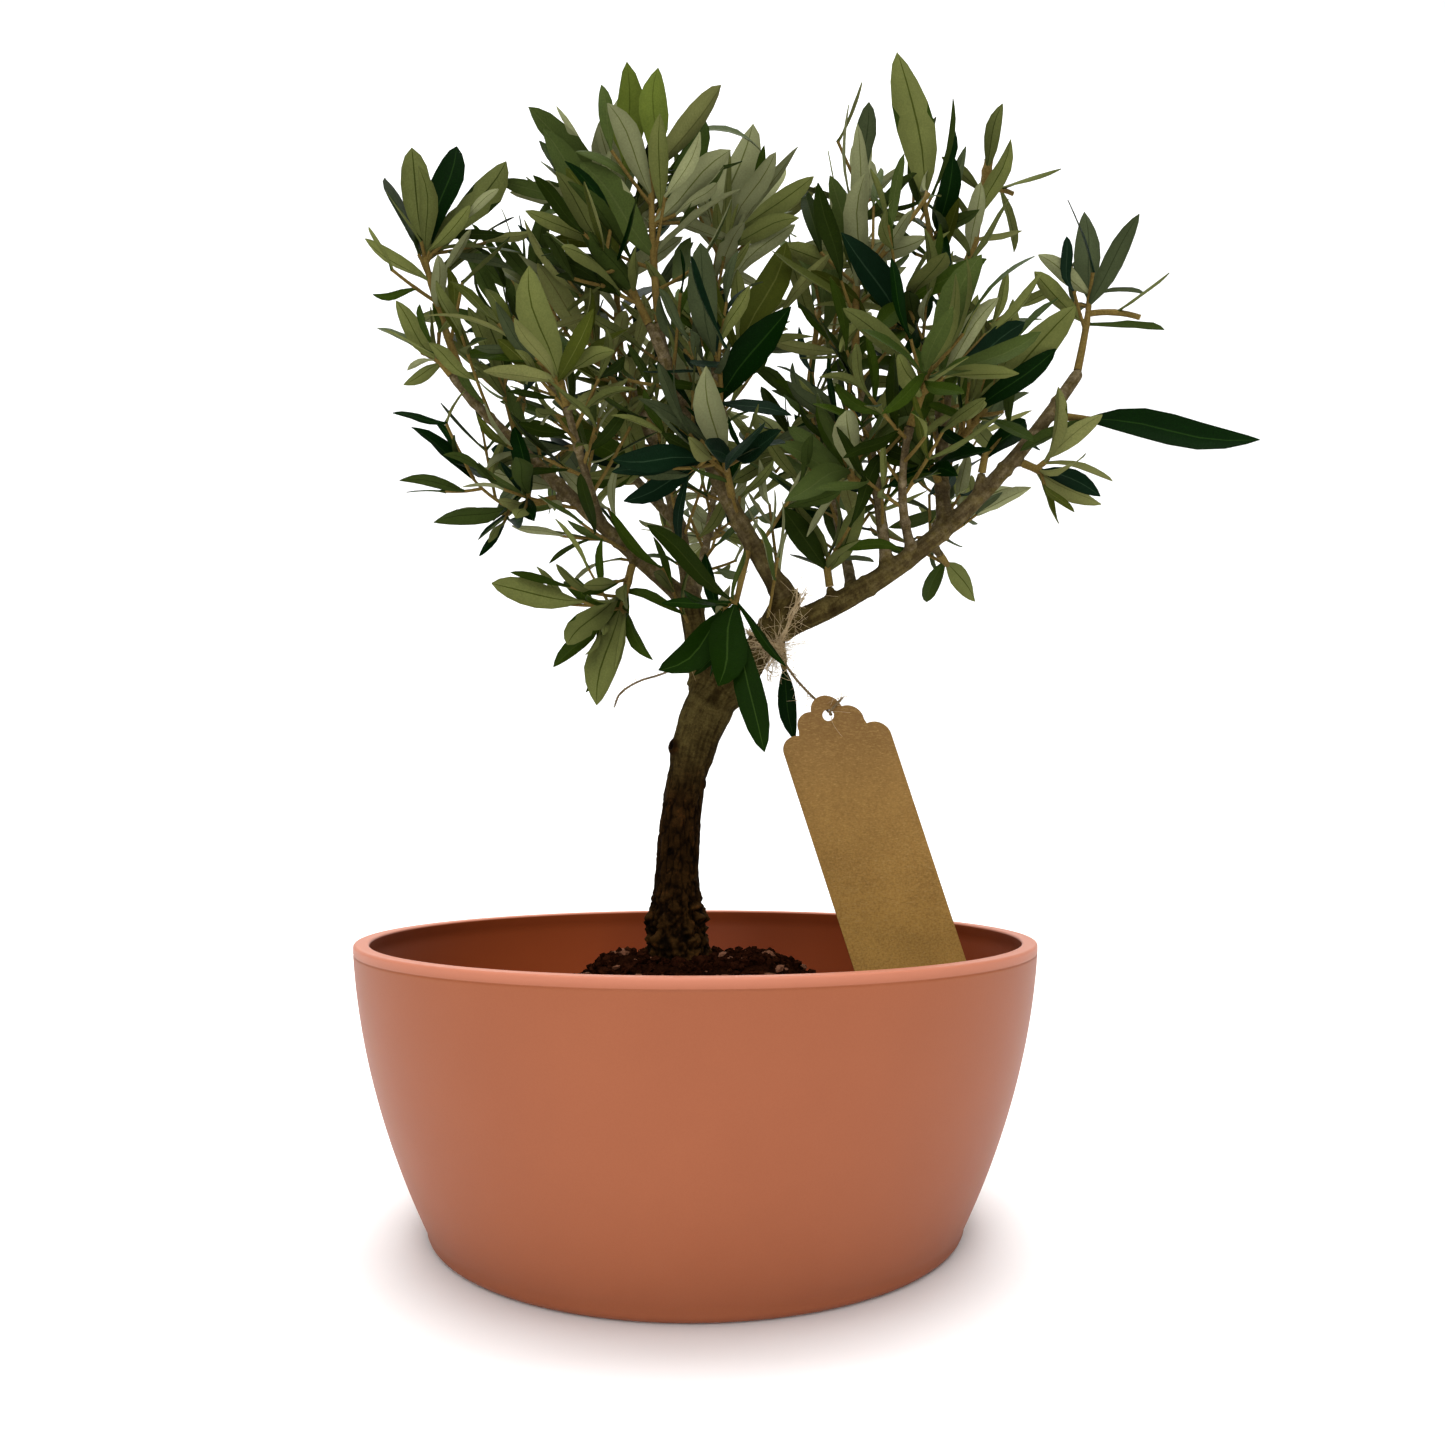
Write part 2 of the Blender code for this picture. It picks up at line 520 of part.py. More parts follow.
@dataclass
class Shoot:
    """One twig as a curve from foot through bend to tip."""

    foot: Vector
    bend: Vector
    tip: Vector
    foot_radius: float

    def point(self, t):
        return self.foot * (1 - t) ** 2 + self.bend * 2 * t * (1 - t) + self.tip * t**2

    def heading(self, t):
        return ((self.bend - self.foot) * (1 - t) + (self.tip - self.bend) * t).normalized()

    def radius(self, t):
        return self.foot_radius * (1 - t) + TWIG_END_RADIUS * t

    def rings(self):
        """Where the twig's drawn rings stand: fewer on a short twig."""
        count = max(1, round((self.tip - self.foot).length / TWIG_RING_SPACING))
        return [index / count for index in range(count + 1)]

    def drawn(self, t):
        """A place on the middle line as it is drawn, straight from ring to ring."""
        rings = self.rings()
        index = min(len(rings) - 2, int(t * (len(rings) - 1)))
        share = t * (len(rings) - 1) - index
        return self.point(rings[index]).lerp(self.point(rings[index + 1]), share)

    def nodes(self, bare):
        """The shares of the length at which leaf pairs stand, past the bare stretch."""
        pairs = max(1, round((self.tip - self.foot).length * (1 - bare) / NODE_SPACING))
        return [bare + (1 - bare) * (pair + 0.35) / pairs for pair in range(pairs)]


@dataclass
class Leaf:
    """One leaf: its root in the twig, its way, its upper side and its length."""

    root: Vector
    way: Vector
    upper: Vector
    length: float

    def tip(self):
        return self.root + self.way * self.length


def leaf_at(root, axis, turn, spread, droop, roll, length):
    """A leaf that leaves the axis at an angle, hangs a little and looks up the shoot with its upper side."""
    side = across(axis, turn)
    way = axis * math.cos(spread) + side * math.sin(spread)
    way = (way - Vector((0.0, 0.0, droop))).normalized()
    upper = (axis - way * axis.dot(way)).normalized()
    upper = Matrix.Rotation(roll, 3, way) @ upper
    return Leaf(root - way * LEAF_SUNK, way, upper, length)


def leaves_of(shoot, bare, usual, rng):
    """Opposite pairs of leaves up one shoot, each pair a quarter turn from the one below."""
    turn = rng.uniform(0.0, math.pi)
    leaves = []
    for t in shoot.nodes(bare):
        turn += math.pi / 2 + rng.uniform(-0.25, 0.25)
        for half in range(2):
            spread = math.radians(rng.uniform(56.0, 74.0) - 26.0 * t)
            droop, roll = rng.uniform(0.0, 0.32), rng.uniform(-0.8, 0.8)
            size = usual * MM * rng.uniform(0.75, 1.15) * (0.86 + 0.2 * t)
            place, axis = shoot.drawn(t), shoot.heading(t)
            leaves.append(leaf_at(place, axis, turn + half * math.pi, spread, droop, roll, size))
    return leaves


def turned_to_front(leaf, look):
    """Rolls a leaf so that its upper side, or its underside, faces the tree's front."""
    front = Vector((0.0, -look, 0.0))
    upper = front - leaf.way * front.dot(leaf.way)
    if look and upper.length > 0.2:
        leaf.upper = upper.normalized()
    return leaf


def lead_shoot(mass, start_heading):
    """The stem itself, from the mass's foot to one leaf short of its first tip."""
    tip = mass.ends()[0]
    reach = (tip - mass.foot).length
    length = min(mass.tips[0][3] * MM, reach - LEAST_STEM)
    bend = mass.foot + start_heading * reach * 0.3
    end = tip - (tip - bend).normalized() * length
    return Shoot(mass.foot, bend.lerp(end, 0.25), end, STEM_RADIUS)


def shoot_to(lead, tip, length):
    """A twig that leaves the lead where it has about a leaf and a node to go to the tip."""
    wanted = length + TIP_TWIG
    share = min(TIP_STATIONS, key=lambda t: abs((lead.point(t) - tip).length - wanted))
    foot = lead.point(share)
    end = foot + (tip - foot) * max(0.0, 1 - length / (tip - foot).length)
    bend = foot.lerp(end, 0.5) + lead.heading(share) * (end - foot).length * 0.15
    return Shoot(foot, bend, end, lead.radius(share) * 0.8)


def side_shoot(lead, share, turn, rng):
    """A twig that leaves the lead at a random slant and curves a little its way."""
    axis = lead.heading(share)
    spread = math.radians(rng.uniform(38.0, 62.0))
    way = axis * math.cos(spread) + across(axis, turn) * math.sin(spread)
    length = (lead.tip - lead.foot).length * rng.uniform(0.35, 0.6)
    foot = lead.point(share)
    tip = foot + way * length + axis * length * 0.2
    return Shoot(foot, foot + way * length * 0.5, tip, lead.radius(share) * 0.8)


def grown(mass, start_heading):
    """Every twig of a mass with its leaves, before any is left out: first to the tips, then a golden angle apart."""
    rng = random.Random(mass.seed)
    lead = lead_shoot(mass, start_heading)
    twigs = []
    for index, (end, tip) in enumerate(zip(mass.ends(), mass.tips)):
        length = tip[3] * MM
        shoot = shoot_to(lead, end, length) if index else lead
        leaves = leaves_of(shoot, SIDE_BARE if index else mass.bare, mass.leaf, rng)
        if length:
            axis = (end - shoot.point(1.0)).normalized()
            root = shoot.point(1.0) - axis * MM
            leaf = leaf_at(root, axis, rng.uniform(0.0, math.pi), 0.02, 0.0, 0.0, (end - root).length)
            leaf.way, leaf.root = axis, root
            leaves.insert(0, turned_to_front(leaf, tip[4]))
        twigs.append((shoot, leaves))
    turn = rng.uniform(0.0, 2 * math.pi)
    for index in range(mass.extra):
        turn += GOLDEN_ANGLE + rng.uniform(-0.3, 0.3)
        share = 0.2 + 0.65 * (index + rng.uniform(0.2, 0.8)) / mass.extra
        shoot = side_shoot(lead, share, turn, rng)
        leaves = leaves_of(shoot, SIDE_BARE, mass.leaf, rng)
        axis, roll = shoot.heading(1.0), rng.uniform(-1, 1)
        end_leaf = leaf_at(shoot.tip - axis * MM, axis, turn, 0.02, 0.0, roll, mass.leaf * 0.85 * MM)
        leaves.append(end_leaf)
        twigs.append((shoot, leaves))
    return twigs


def within_space(mass, point):
    """Whether a point lies in the mass's own space: round-ended rods from its foot to its tips."""
    for end in mass.ends():
        line = end - mass.foot
        share = min(1.0, max(0.0, (point - mass.foot).dot(line) / line.length_squared))
        if (point - mass.foot - line * share).length <= mass.girth * MM:
            return True
    return False


def leaf_form(leaf, grow=0.0):
    """A leaf of ten faces: a six-sided cone of hardly any height, drawn out along the leaf. Grow adds room."""
    bm = bmesh.new()
    bmesh.ops.create_cone(bm, segments=6, radius1=1.0, radius2=0.0, depth=1.0, cap_ends=True)
    side = leaf.way.cross(leaf.upper).normalized()
    half_width = leaf.length * LEAF_WIDTH_SHARE / 2 + grow
    for vertex in bm.verts:
        along, across_leaf, height = vertex.co.y, -vertex.co.x, vertex.co.z
        if height > 0:
            vertex.co = leaf.root + leaf.way * leaf.length * LEAF_THICKEST + leaf.upper * (LEAF_THICKNESS + grow)
            continue
        lower = along < 0
        if abs(across_leaf) > 0.1:
            share = LEAF_SHOULDERS[0] if lower else LEAF_SHOULDERS[1]
            width = math.copysign(half_width * (LEAF_BASE_WIDTH if lower else 1.0), across_leaf)
        else:
            share = 0.0 if lower else 1.0
            width = 0.0
        end = grow * (along > 0.9) - grow * (along < -0.9)
        vertex.co = leaf.root + leaf.way * (leaf.length * share + end) + side * width - leaf.upper * grow
    bmesh.ops.recalc_face_normals(bm, faces=bm.faces)
    return bm


def as_object(bm, name, home):
    """A mesh object made from a bmesh, which is then freed."""
    mesh = bpy.data.meshes.new(name)
    bm.to_mesh(mesh)
    bm.free()
    return mesh_object(name, mesh, home)


class Neighbours:
    """The finished pieces, to test whether a new one would touch them."""

    def __init__(self):
        self.known = []

    @staticmethod
    def read(bm):
        """A tree of the form's faces and its lowest and highest corners. The bmesh is freed."""
        tree = BVHTree.FromBMesh(bm)
        columns = list(zip(*(vertex.co for vertex in bm.verts)))
        bm.free()
        return tree, [min(column) for column in columns], [max(column) for column in columns]

    def add(self, bm):
        self.known.append(self.read(bm))

    def add_object(self, obj):
        bm = bmesh.new()
        bm.from_object(obj, bpy.context.evaluated_depsgraph_get())
        self.add(bm)

    def touched(self, bm):
        tree, low, high = self.read(bm)
        for other, other_low, other_high in self.known:
            if all(low[i] <= other_high[i] and other_low[i] <= high[i] for i in range(3)) and tree.overlap(other):
                return True
        return False

    def crossed(self, shoot):
        """Whether a shoot's middle line, past its foot, comes near any of them."""
        places = [shoot.point(step / 8) for step in range(2, 9)]
        return any(tree.find_nearest(at, TWIG_ROOM)[0] is not None for tree, _, _ in self.known for at in places)


def outer_part(leaf):
    """The leaf without the part next to its twig, for testing it against its own mass."""
    root = leaf.root + leaf.way * leaf.length * LEAF_NECK
    return leaf_form(Leaf(root, leaf.way, leaf.upper, leaf.length * (1 - LEAF_NECK)))


def twig_form(shoot):
    """A straight three-sided stand-in for a twig, for testing leaves against it."""
    bm = bmesh.new()
    line = shoot.tip - shoot.foot
    bmesh.ops.create_cone(bm, segments=3, radius1=TWIG_END_RADIUS, radius2=TWIG_END_RADIUS, depth=line.length)
    place = Matrix.Translation(shoot.foot.lerp(shoot.tip, 0.5)) @ line.to_track_quat("Z", "Y").to_matrix().to_4x4()
    bmesh.ops.transform(bm, matrix=place, verts=bm.verts)
    return bm


def kept_leaves(mass, leaves, own, neighbours):
    """The leaves that stay in the mass's space, shortened a little if they must be, and touch nothing."""
    kept = []
    for leaf in leaves:
        while leaf.length > LEAST_LEAF and not within_space(mass, leaf.tip()):
            leaf.length *= 0.9
        if leaf.length <= LEAST_LEAF and not within_space(mass, leaf.tip()):
            continue
        if neighbours.touched(leaf_form(leaf, GUARD)) or own.touched(outer_part(leaf)):
            continue
        own.add(outer_part(leaf))
        kept.append(leaf)
    return kept


def planned(mass, start_heading, neighbours):
    """The twigs and leaves of a mass that have room."""
    own = Neighbours()
    room = []
    for index, (shoot, leaves) in enumerate(grown(mass, start_heading)):
        if not index or (within_space(mass, shoot.tip) and not neighbours.crossed(shoot)):
            room.append((shoot, leaves))
            own.add(twig_form(shoot))
    return [(shoot, kept_leaves(mass, leaves, own, neighbours)) for shoot, leaves in room]


def make_mass(mass, twigs, home, bits, section, material):
    """A mass's twigs and leaves, joined as one solid."""
    body = None
    for shoot, leaves in twigs:
        if (shoot.tip - shoot.foot).length > 2 * MM:
            rings = shoot.rings()
            points, radii = [shoot.point(t) for t in rings], [shoot.radius(t) for t in rings]
            twig = tube("twig", points, radii, bits if body else home, section=section)
            body = body or twig
        for leaf in leaves:
            as_object(leaf_form(leaf), "leaf", bits)
    return union(body, bits, mass.name, home, material)


def tag_outline():
    """Points round the tag: a foot cut level, straight sides and a head of five round lobes, a little askew."""
    half = TAG_WIDTH / 2
    below = (TAG_EYE.z - TAG_FOOT) / math.cos(TAG_SLANT) + TAG_EYE_DROP
    points = [(-half, half * math.tan(TAG_SLANT) - below)]
    for x, drop, radius, first, last in TAG_LOBES:
        for step in range(TAG_LOBE_STEPS + 1):
            angle = math.radians(first + (last - first) * step / TAG_LOBE_STEPS)
            along = x + radius * math.cos(angle)
            points.append((along * MM, (radius * math.sin(angle) - drop - along * TAG_SKEW) * MM))
    points.append((half, -half * math.tan(TAG_SLANT) - below))
    return points


def tag_matrix():
    """Carries the flat tag, whose head is at its own origin, to its place in the bowl."""
    stand = Matrix.Rotation(math.pi / 2, 4, "X")
    turn = Matrix.Rotation(-TAG_SLANT, 4, "Y") @ Matrix.Rotation(TAG_RECLINE, 4, "X")
    return Matrix.Translation(TAG_EYE) @ turn @ stand @ Matrix.Translation((0.0, TAG_EYE_DROP, 0.0))


def make_tag(home, material):
    """The card: its outline and the round hole in it, given its thickness."""
    curve = bpy.data.curves.new("gift_tag", "CURVE")
    curve.dimensions = "2D"
    curve.fill_mode = "BOTH"
    curve.extrude = TAG_THICKNESS / 2
    edge = curve.splines.new("POLY")
    outline = tag_outline()
    edge.points.add(len(outline) - 1)
    for place, (x, y) in zip(edge.points, outline):
        place.co = (x, y, 0.0, 1.0)
    edge.use_cyclic_u = True
    eye = curve.splines.new("POLY")
    eye.points.add(TAG_EYE_CORNERS - 1)
    for index, place in enumerate(eye.points):
        angle = 2 * math.pi * index / TAG_EYE_CORNERS
        place.co = (TAG_EYE_RADIUS * math.cos(angle), -TAG_EYE_DROP + TAG_EYE_RADIUS * math.sin(angle), 0.0, 1.0)
    eye.use_cyclic_u = True
    obj = bpy.data.objects.new("gift_tag", curve)
    home.objects.link(obj)
    obj.matrix_world = tag_matrix()
    return as_mesh(obj, "gift_tag", home, material)


def make_twine(limbs, home, bits, material):
    """Twine wound once round the right limb and knotted, with a lead that goes through the tag's hole."""
    limb = limbs["right_limb"]
    middle, axis = limb.point(TWINE_STATION), limb.heading(TWINE_STATION)
    front = (TWINE_FRONT - axis * TWINE_FRONT.dot(axis)).normalized()
    ring_radius = limb.radius(TWINE_STATION) + TWINE_RADIUS + CLEAR * 2.4
    ring = []
    for step in range(TWINE_STEPS + 1):
        turn = Matrix.Rotation(2 * math.pi * step / TWINE_STEPS, 3, axis)
        ring.append(middle + turn @ front * ring_radius + axis * TWINE_RADIUS * 3 * (step / TWINE_STEPS - 0.5))
    body = tube("twine_ring", ring, [TWINE_RADIUS] * len(ring), home, sides=4)
    knot_at = middle + front * (ring_radius + KNOT_RADIUS * 0.4)
    ball(knot_at, KNOT_RADIUS, bits)
    right, up, face = tag_matrix().to_3x3().transposed()
    clear = face * (TAG_THICKNESS / 2 + TWINE_RADIUS + CLEAR)
    end = TAG_EYE + right * TWINE_END[0] + up * TWINE_END[1] + clear
    lead = [knot_at, TAG_EYE - clear + up * TAG_THICKNESS, TAG_EYE + clear, end]
    tube("lead", lead, [TWINE_RADIUS] * len(lead), bits, sides=4)
    return union(body, bits, "tag_twine", home, material)


def main():
    clear_scene()
    olive = collection("olive_bonsai")
    scraps = collection("scraps", hidden=True)
    terracotta = finish_material("terracotta_plastic", (0.52, 0.17, 0.085), 0.6)
    earth = finish_material("earth", (0.035, 0.016, 0.01), 1.0)
    bark = finish_material("bark", (0.17, 0.13, 0.085), 0.9)
    leafage = finish_material("olive_leaf", (0.09, 0.13, 0.05), 0.6)
    kraft = finish_material("kraft_card", (0.42, 0.27, 0.12), 0.85)
    jute = finish_material("jute", (0.5, 0.4, 0.27), 0.95)

    limbs = {limb.name: limb for limb in WOOD}
    starts = place_feet(limbs)
    solids = [make_bowl(olive, terracotta), make_soil(olive, earth), make_tag(olive, kraft)]
    solids += [make_limb(limb, starts, olive, scraps, bark) for limb in WOOD]
    solids.append(make_twine(limbs, olive, scraps, jute))

    neighbours = Neighbours()
    bpy.context.view_layer.update()
    for solid in solids:
        neighbours.add_object(solid)

    section = three_sides(scraps)
    bits = collection("mass_bits", hidden=True)
    for mass in FOLIAGE:
        twigs = planned(mass, starts[mass.name][1], neighbours)
        neighbours.add_object(make_mass(mass, twigs, olive, bits, section, leafage))
    return starts, solids


main()
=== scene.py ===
"""An olive bonsai in a round bowl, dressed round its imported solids: bark, twigs, leaves, soil, gift tag and twine.

Metres, +Z up. The origin is on the floor, under the middle of the bowl, and -Y points
to whoever looks at the tree's face.
"""

import json
import logging
import math
import random
from dataclasses import dataclass, field
from enum import IntEnum
from typing import Optional, Sequence

import bpy
import numpy as np
from mathutils import Matrix, Vector
from mathutils.bvhtree import BVHTree
from mathutils.kdtree import KDTree

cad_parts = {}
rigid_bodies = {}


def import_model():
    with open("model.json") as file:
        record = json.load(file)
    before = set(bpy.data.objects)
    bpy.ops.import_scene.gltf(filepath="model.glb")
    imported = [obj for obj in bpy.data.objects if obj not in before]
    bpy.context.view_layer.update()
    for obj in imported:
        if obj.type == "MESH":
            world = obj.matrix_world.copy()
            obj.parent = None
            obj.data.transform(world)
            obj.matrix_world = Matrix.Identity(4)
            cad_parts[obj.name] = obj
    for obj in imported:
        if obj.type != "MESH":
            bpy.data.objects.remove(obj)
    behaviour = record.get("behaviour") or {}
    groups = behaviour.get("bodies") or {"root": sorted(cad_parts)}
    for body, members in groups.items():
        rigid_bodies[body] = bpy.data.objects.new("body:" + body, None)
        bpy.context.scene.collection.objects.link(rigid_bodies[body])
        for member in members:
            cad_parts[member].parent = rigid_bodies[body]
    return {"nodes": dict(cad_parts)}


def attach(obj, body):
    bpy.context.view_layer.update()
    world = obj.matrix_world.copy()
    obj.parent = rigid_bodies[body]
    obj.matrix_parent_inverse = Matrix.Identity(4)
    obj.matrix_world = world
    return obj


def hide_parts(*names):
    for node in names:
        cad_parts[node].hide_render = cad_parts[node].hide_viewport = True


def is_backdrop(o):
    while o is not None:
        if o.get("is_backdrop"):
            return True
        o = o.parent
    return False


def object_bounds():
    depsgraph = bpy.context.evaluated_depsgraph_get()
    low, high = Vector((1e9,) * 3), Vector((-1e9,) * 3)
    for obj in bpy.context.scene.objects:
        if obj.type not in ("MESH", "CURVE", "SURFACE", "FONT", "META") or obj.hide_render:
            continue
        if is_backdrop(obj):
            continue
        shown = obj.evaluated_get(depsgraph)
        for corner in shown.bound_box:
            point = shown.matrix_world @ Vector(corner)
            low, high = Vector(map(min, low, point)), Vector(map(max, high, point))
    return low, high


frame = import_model()

LOG = logging.getLogger("olive_bonsai")
MM = 0.001
Array = np.ndarray
Colour = tuple[float, float, float]
BODY = "root"
UP = Vector((0.0, 0.0, 1.0))


# Measures that the solids have too

GROUND = 93.8 * MM
TRUNK_FOOT = Vector((-7.6 * MM, 0.0, GROUND))
ROOT_FLARE = 4.2 * MM
ROOT_FLARE_HEIGHT = 0.13
TRUNK_RINGS = (0.0, 0.05, 0.14, 0.3, 0.5, 0.7, 0.86, 1.0)
BOUGH_RINGS = (0.0, 0.25, 0.5, 0.75, 1.0)
LEAST_SPUR = 1.5 * MM
LEAST_LEAN = 0.35
KNUCKLE = 1.04
FORK_ROOM = 1.22
STEM_RADIUS = 1.6 * MM
TWIG_END_RADIUS = 0.9 * MM
NODE_SPACING = 11.5 * MM
GOLDEN_ANGLE = math.radians(137.5)
LEAST_LEAF = 21.0 * MM
LEAF_SUNK = 1.0 * MM
SIDE_BARE = 0.3
TWIG_RING_SPACING = 30.0 * MM
LEAST_STEM = 8.0 * MM
TIP_TWIG = 10.0 * MM
TIP_STATIONS = (0.35, 0.5, 0.65, 0.8, 0.92)
END_STATION = 0.99
SAME_STATION = 0.02
STEEPEST_TILT = 1.4
SIDE_TWIG_LENGTHS = (0.35, 0.6)  # shares of the stem's length
SIDE_TWIG_SPREAD = (38.0, 62.0)  # degrees from the stem
CHILD_TWIG_SHARE = 0.8  # a twig's radius over its bearer's there
PAIR_SPREAD = (56.0, 74.0)  # degrees from the shoot at its foot
PAIR_SPREAD_FALL = 26.0  # how much less at its end
PAIR_TURN_STRAY = 0.25
LEAF_DROOP = (0.0, 0.32)
LEAF_ROLL = (-0.8, 0.8)
LEAF_SIZES = (0.75, 1.15)  # over the usual one


class Look(IntEnum):
    """The side that a leaf shows to whoever looks at the tree's face."""

    DARK = 1
    PALE = -1
    EDGE = 0


DARK, PALE, EDGE = Look.DARK, Look.PALE, Look.EDGE


def linear(red: float, green: float, blue: float) -> Colour:
    """A colour given as 0 to 255 display values, as the linear light that a shader takes.

    Args:
        red, green, blue: display values.

    Returns:
        Each value over 255, raised to the power 2.2.
    """
    return tuple((value / 255.0) ** 2.2 for value in (red, green, blue))


# The tree's plan: tapering limbs and the sprays that grow from them


@dataclass
class Limb:
    """One tapering limb that springs from its parent at a share of the parent's length."""

    name: str
    parent: str
    station: float
    bend: tuple[float, float, float]
    tip: tuple[float, float, float]
    foot_width: float
    tip_width: float
    foot: Optional[Vector] = None
    flare: float = 0.0

    def point(self, t: float) -> Vector:
        """A place on the middle line: the curve that leaves the foot towards the bend and ends at the tip."""
        bend, tip = Vector(self.bend) * MM, Vector(self.tip) * MM
        return self.foot * (1 - t) ** 2 + bend * 2 * t * (1 - t) + tip * t**2

    def heading(self, t: float) -> Vector:
        """The unit direction of the middle line there."""
        bend, tip = Vector(self.bend) * MM, Vector(self.tip) * MM
        return ((bend - self.foot) * (1 - t) + (tip - bend) * t).normalized()

    def radius(self, t: float) -> float:
        """An even taper from foot to tip, plus a root flare that fades up the limb."""
        even = (self.foot_width * (1 - t) + self.tip_width * t) * MM / 2
        return even + self.flare * math.exp(-t / ROOT_FLARE_HEIGHT)

    def drawn(self, t: float) -> Vector:
        """A place on the middle line as the solid has it, straight from ring to ring.

        Args:
            t: the share of its length.

        Returns:
            The place.
        """
        rings = BOUGH_RINGS if self.parent else TRUNK_RINGS
        index = next(i for i in range(len(rings) - 1) if t <= rings[i + 1])
        share = (t - rings[index]) / (rings[index + 1] - rings[index])
        return self.point(rings[index]).lerp(self.point(rings[index + 1]), share)

    def foot_radius(self) -> float:
        """Radius where the limb starts, without a flare."""
        return self.foot_width * MM / 2


@dataclass
class Mass:
    """One mass of foliage: a stem that leads to its first tip, twigs to its other tips, side twigs, and their leaves.

    A tip is the place of a leaf's point in mm, that leaf's length and the side that it shows.
    A length of 0 is a cut twig.
    """

    name: str
    parent: str
    station: float
    tips: tuple[tuple[float, float, float, float, Look], ...]
    leaf: float
    extra: int
    seed: int
    girth: float = 30.0
    bare: float = 0.25
    foot: Optional[Vector] = None

    def ends(self) -> list[Vector]:
        """The tips' places in metres."""
        return [Vector(tip[:3]) * MM for tip in self.tips]

    def foot_radius(self) -> float:
        """Radius of the stem where it starts."""
        return STEM_RADIUS

    def holds(self, point: Vector) -> bool:
        """Whether a point lies in the mass's own space: round-ended rods from its foot to its tips.

        Args:
            point: the place to test.

        Returns:
            True inside any rod.
        """
        for end in self.ends():
            line = end - self.foot
            share = min(1.0, max(0.0, (point - self.foot).dot(line) / line.length_squared))
            if (point - self.foot - line * share).length <= self.girth * MM:
                return True
        return False


WOOD = (
    Limb("trunk", "", 0.0, (-10.5, 0.0, 162.0), (5.0, 0.0, 190.5), 15.8, 17.4, TRUNK_FOOT, ROOT_FLARE),
    Limb("left_limb", "trunk", 1.0, (-0.5, 2.5, 214.0), (-3.0, 5.0, 231.0), 10.5, 9.4),
    Limb("right_limb", "trunk", 1.0, (19.0, -4.0, 203.0), (34.3, -8.0, 230.0), 12.8, 10.6),
    Limb("far_left_bough", "left_limb", 1.0, (-42.0, -10.0, 262.0), (-83.0, -25.0, 301.0), 6.8, 4.0),
    Limb("left_upright", "left_limb", 1.0, (-11.0, 21.0, 292.0), (-33.0, 29.0, 336.0), 6.4, 4.0),
    Limb("rear_left_bough", "left_upright", 0.24, (-30.0, 48.0, 296.0), (-66.0, 55.0, 338.0), 4.6, 3.2),
    Limb("back_bough", "left_limb", 1.0, (2.0, 50.0, 258.0), (6.0, 84.0, 304.0), 5.2, 3.2),
    Limb("mid_bough", "right_limb", 1.0, (8.0, -20.0, 268.0), (-12.5, -30.0, 318.0), 7.8, 4.4),
    Limb("mid_upright", "mid_bough", 0.52, (10.5, -6.0, 302.0), (4.0, 1.0, 344.0), 5.4, 3.8),
    Limb("right_bough", "right_limb", 0.72, (101.0, -10.0, 249.0), (144.0, -20.0, 314.0), 9.2, 4.8),
    Limb("inner_right_upright", "right_bough", 0.27, (69.0, -16.0, 268.0), (60.0, -22.0, 322.0), 4.8, 3.4),
    Limb("right_upright", "right_bough", 0.48, (95.0, 6.0, 300.0), (107.0, 15.0, 352.0), 6.0, 4.2),
    Limb("rear_right_bough", "right_bough", 0.15, (59.0, 38.0, 276.0), (48.0, 50.0, 336.0), 4.8, 3.2),
    Limb("back_right_bough", "right_bough", 0.40, (101.0, 50.0, 262.0), (114.0, 80.0, 306.0), 4.6, 3.0),
    Limb("front_left_bough", "far_left_bough", 0.40, (-42.0, -34.0, 276.0), (-46.0, -42.0, 292.0), 3.8, 3.0),
    Limb("front_right_bough", "right_bough", 0.36, (72.0, -36.0, 264.0), (76.0, -44.0, 284.0), 4.0, 3.0),
)

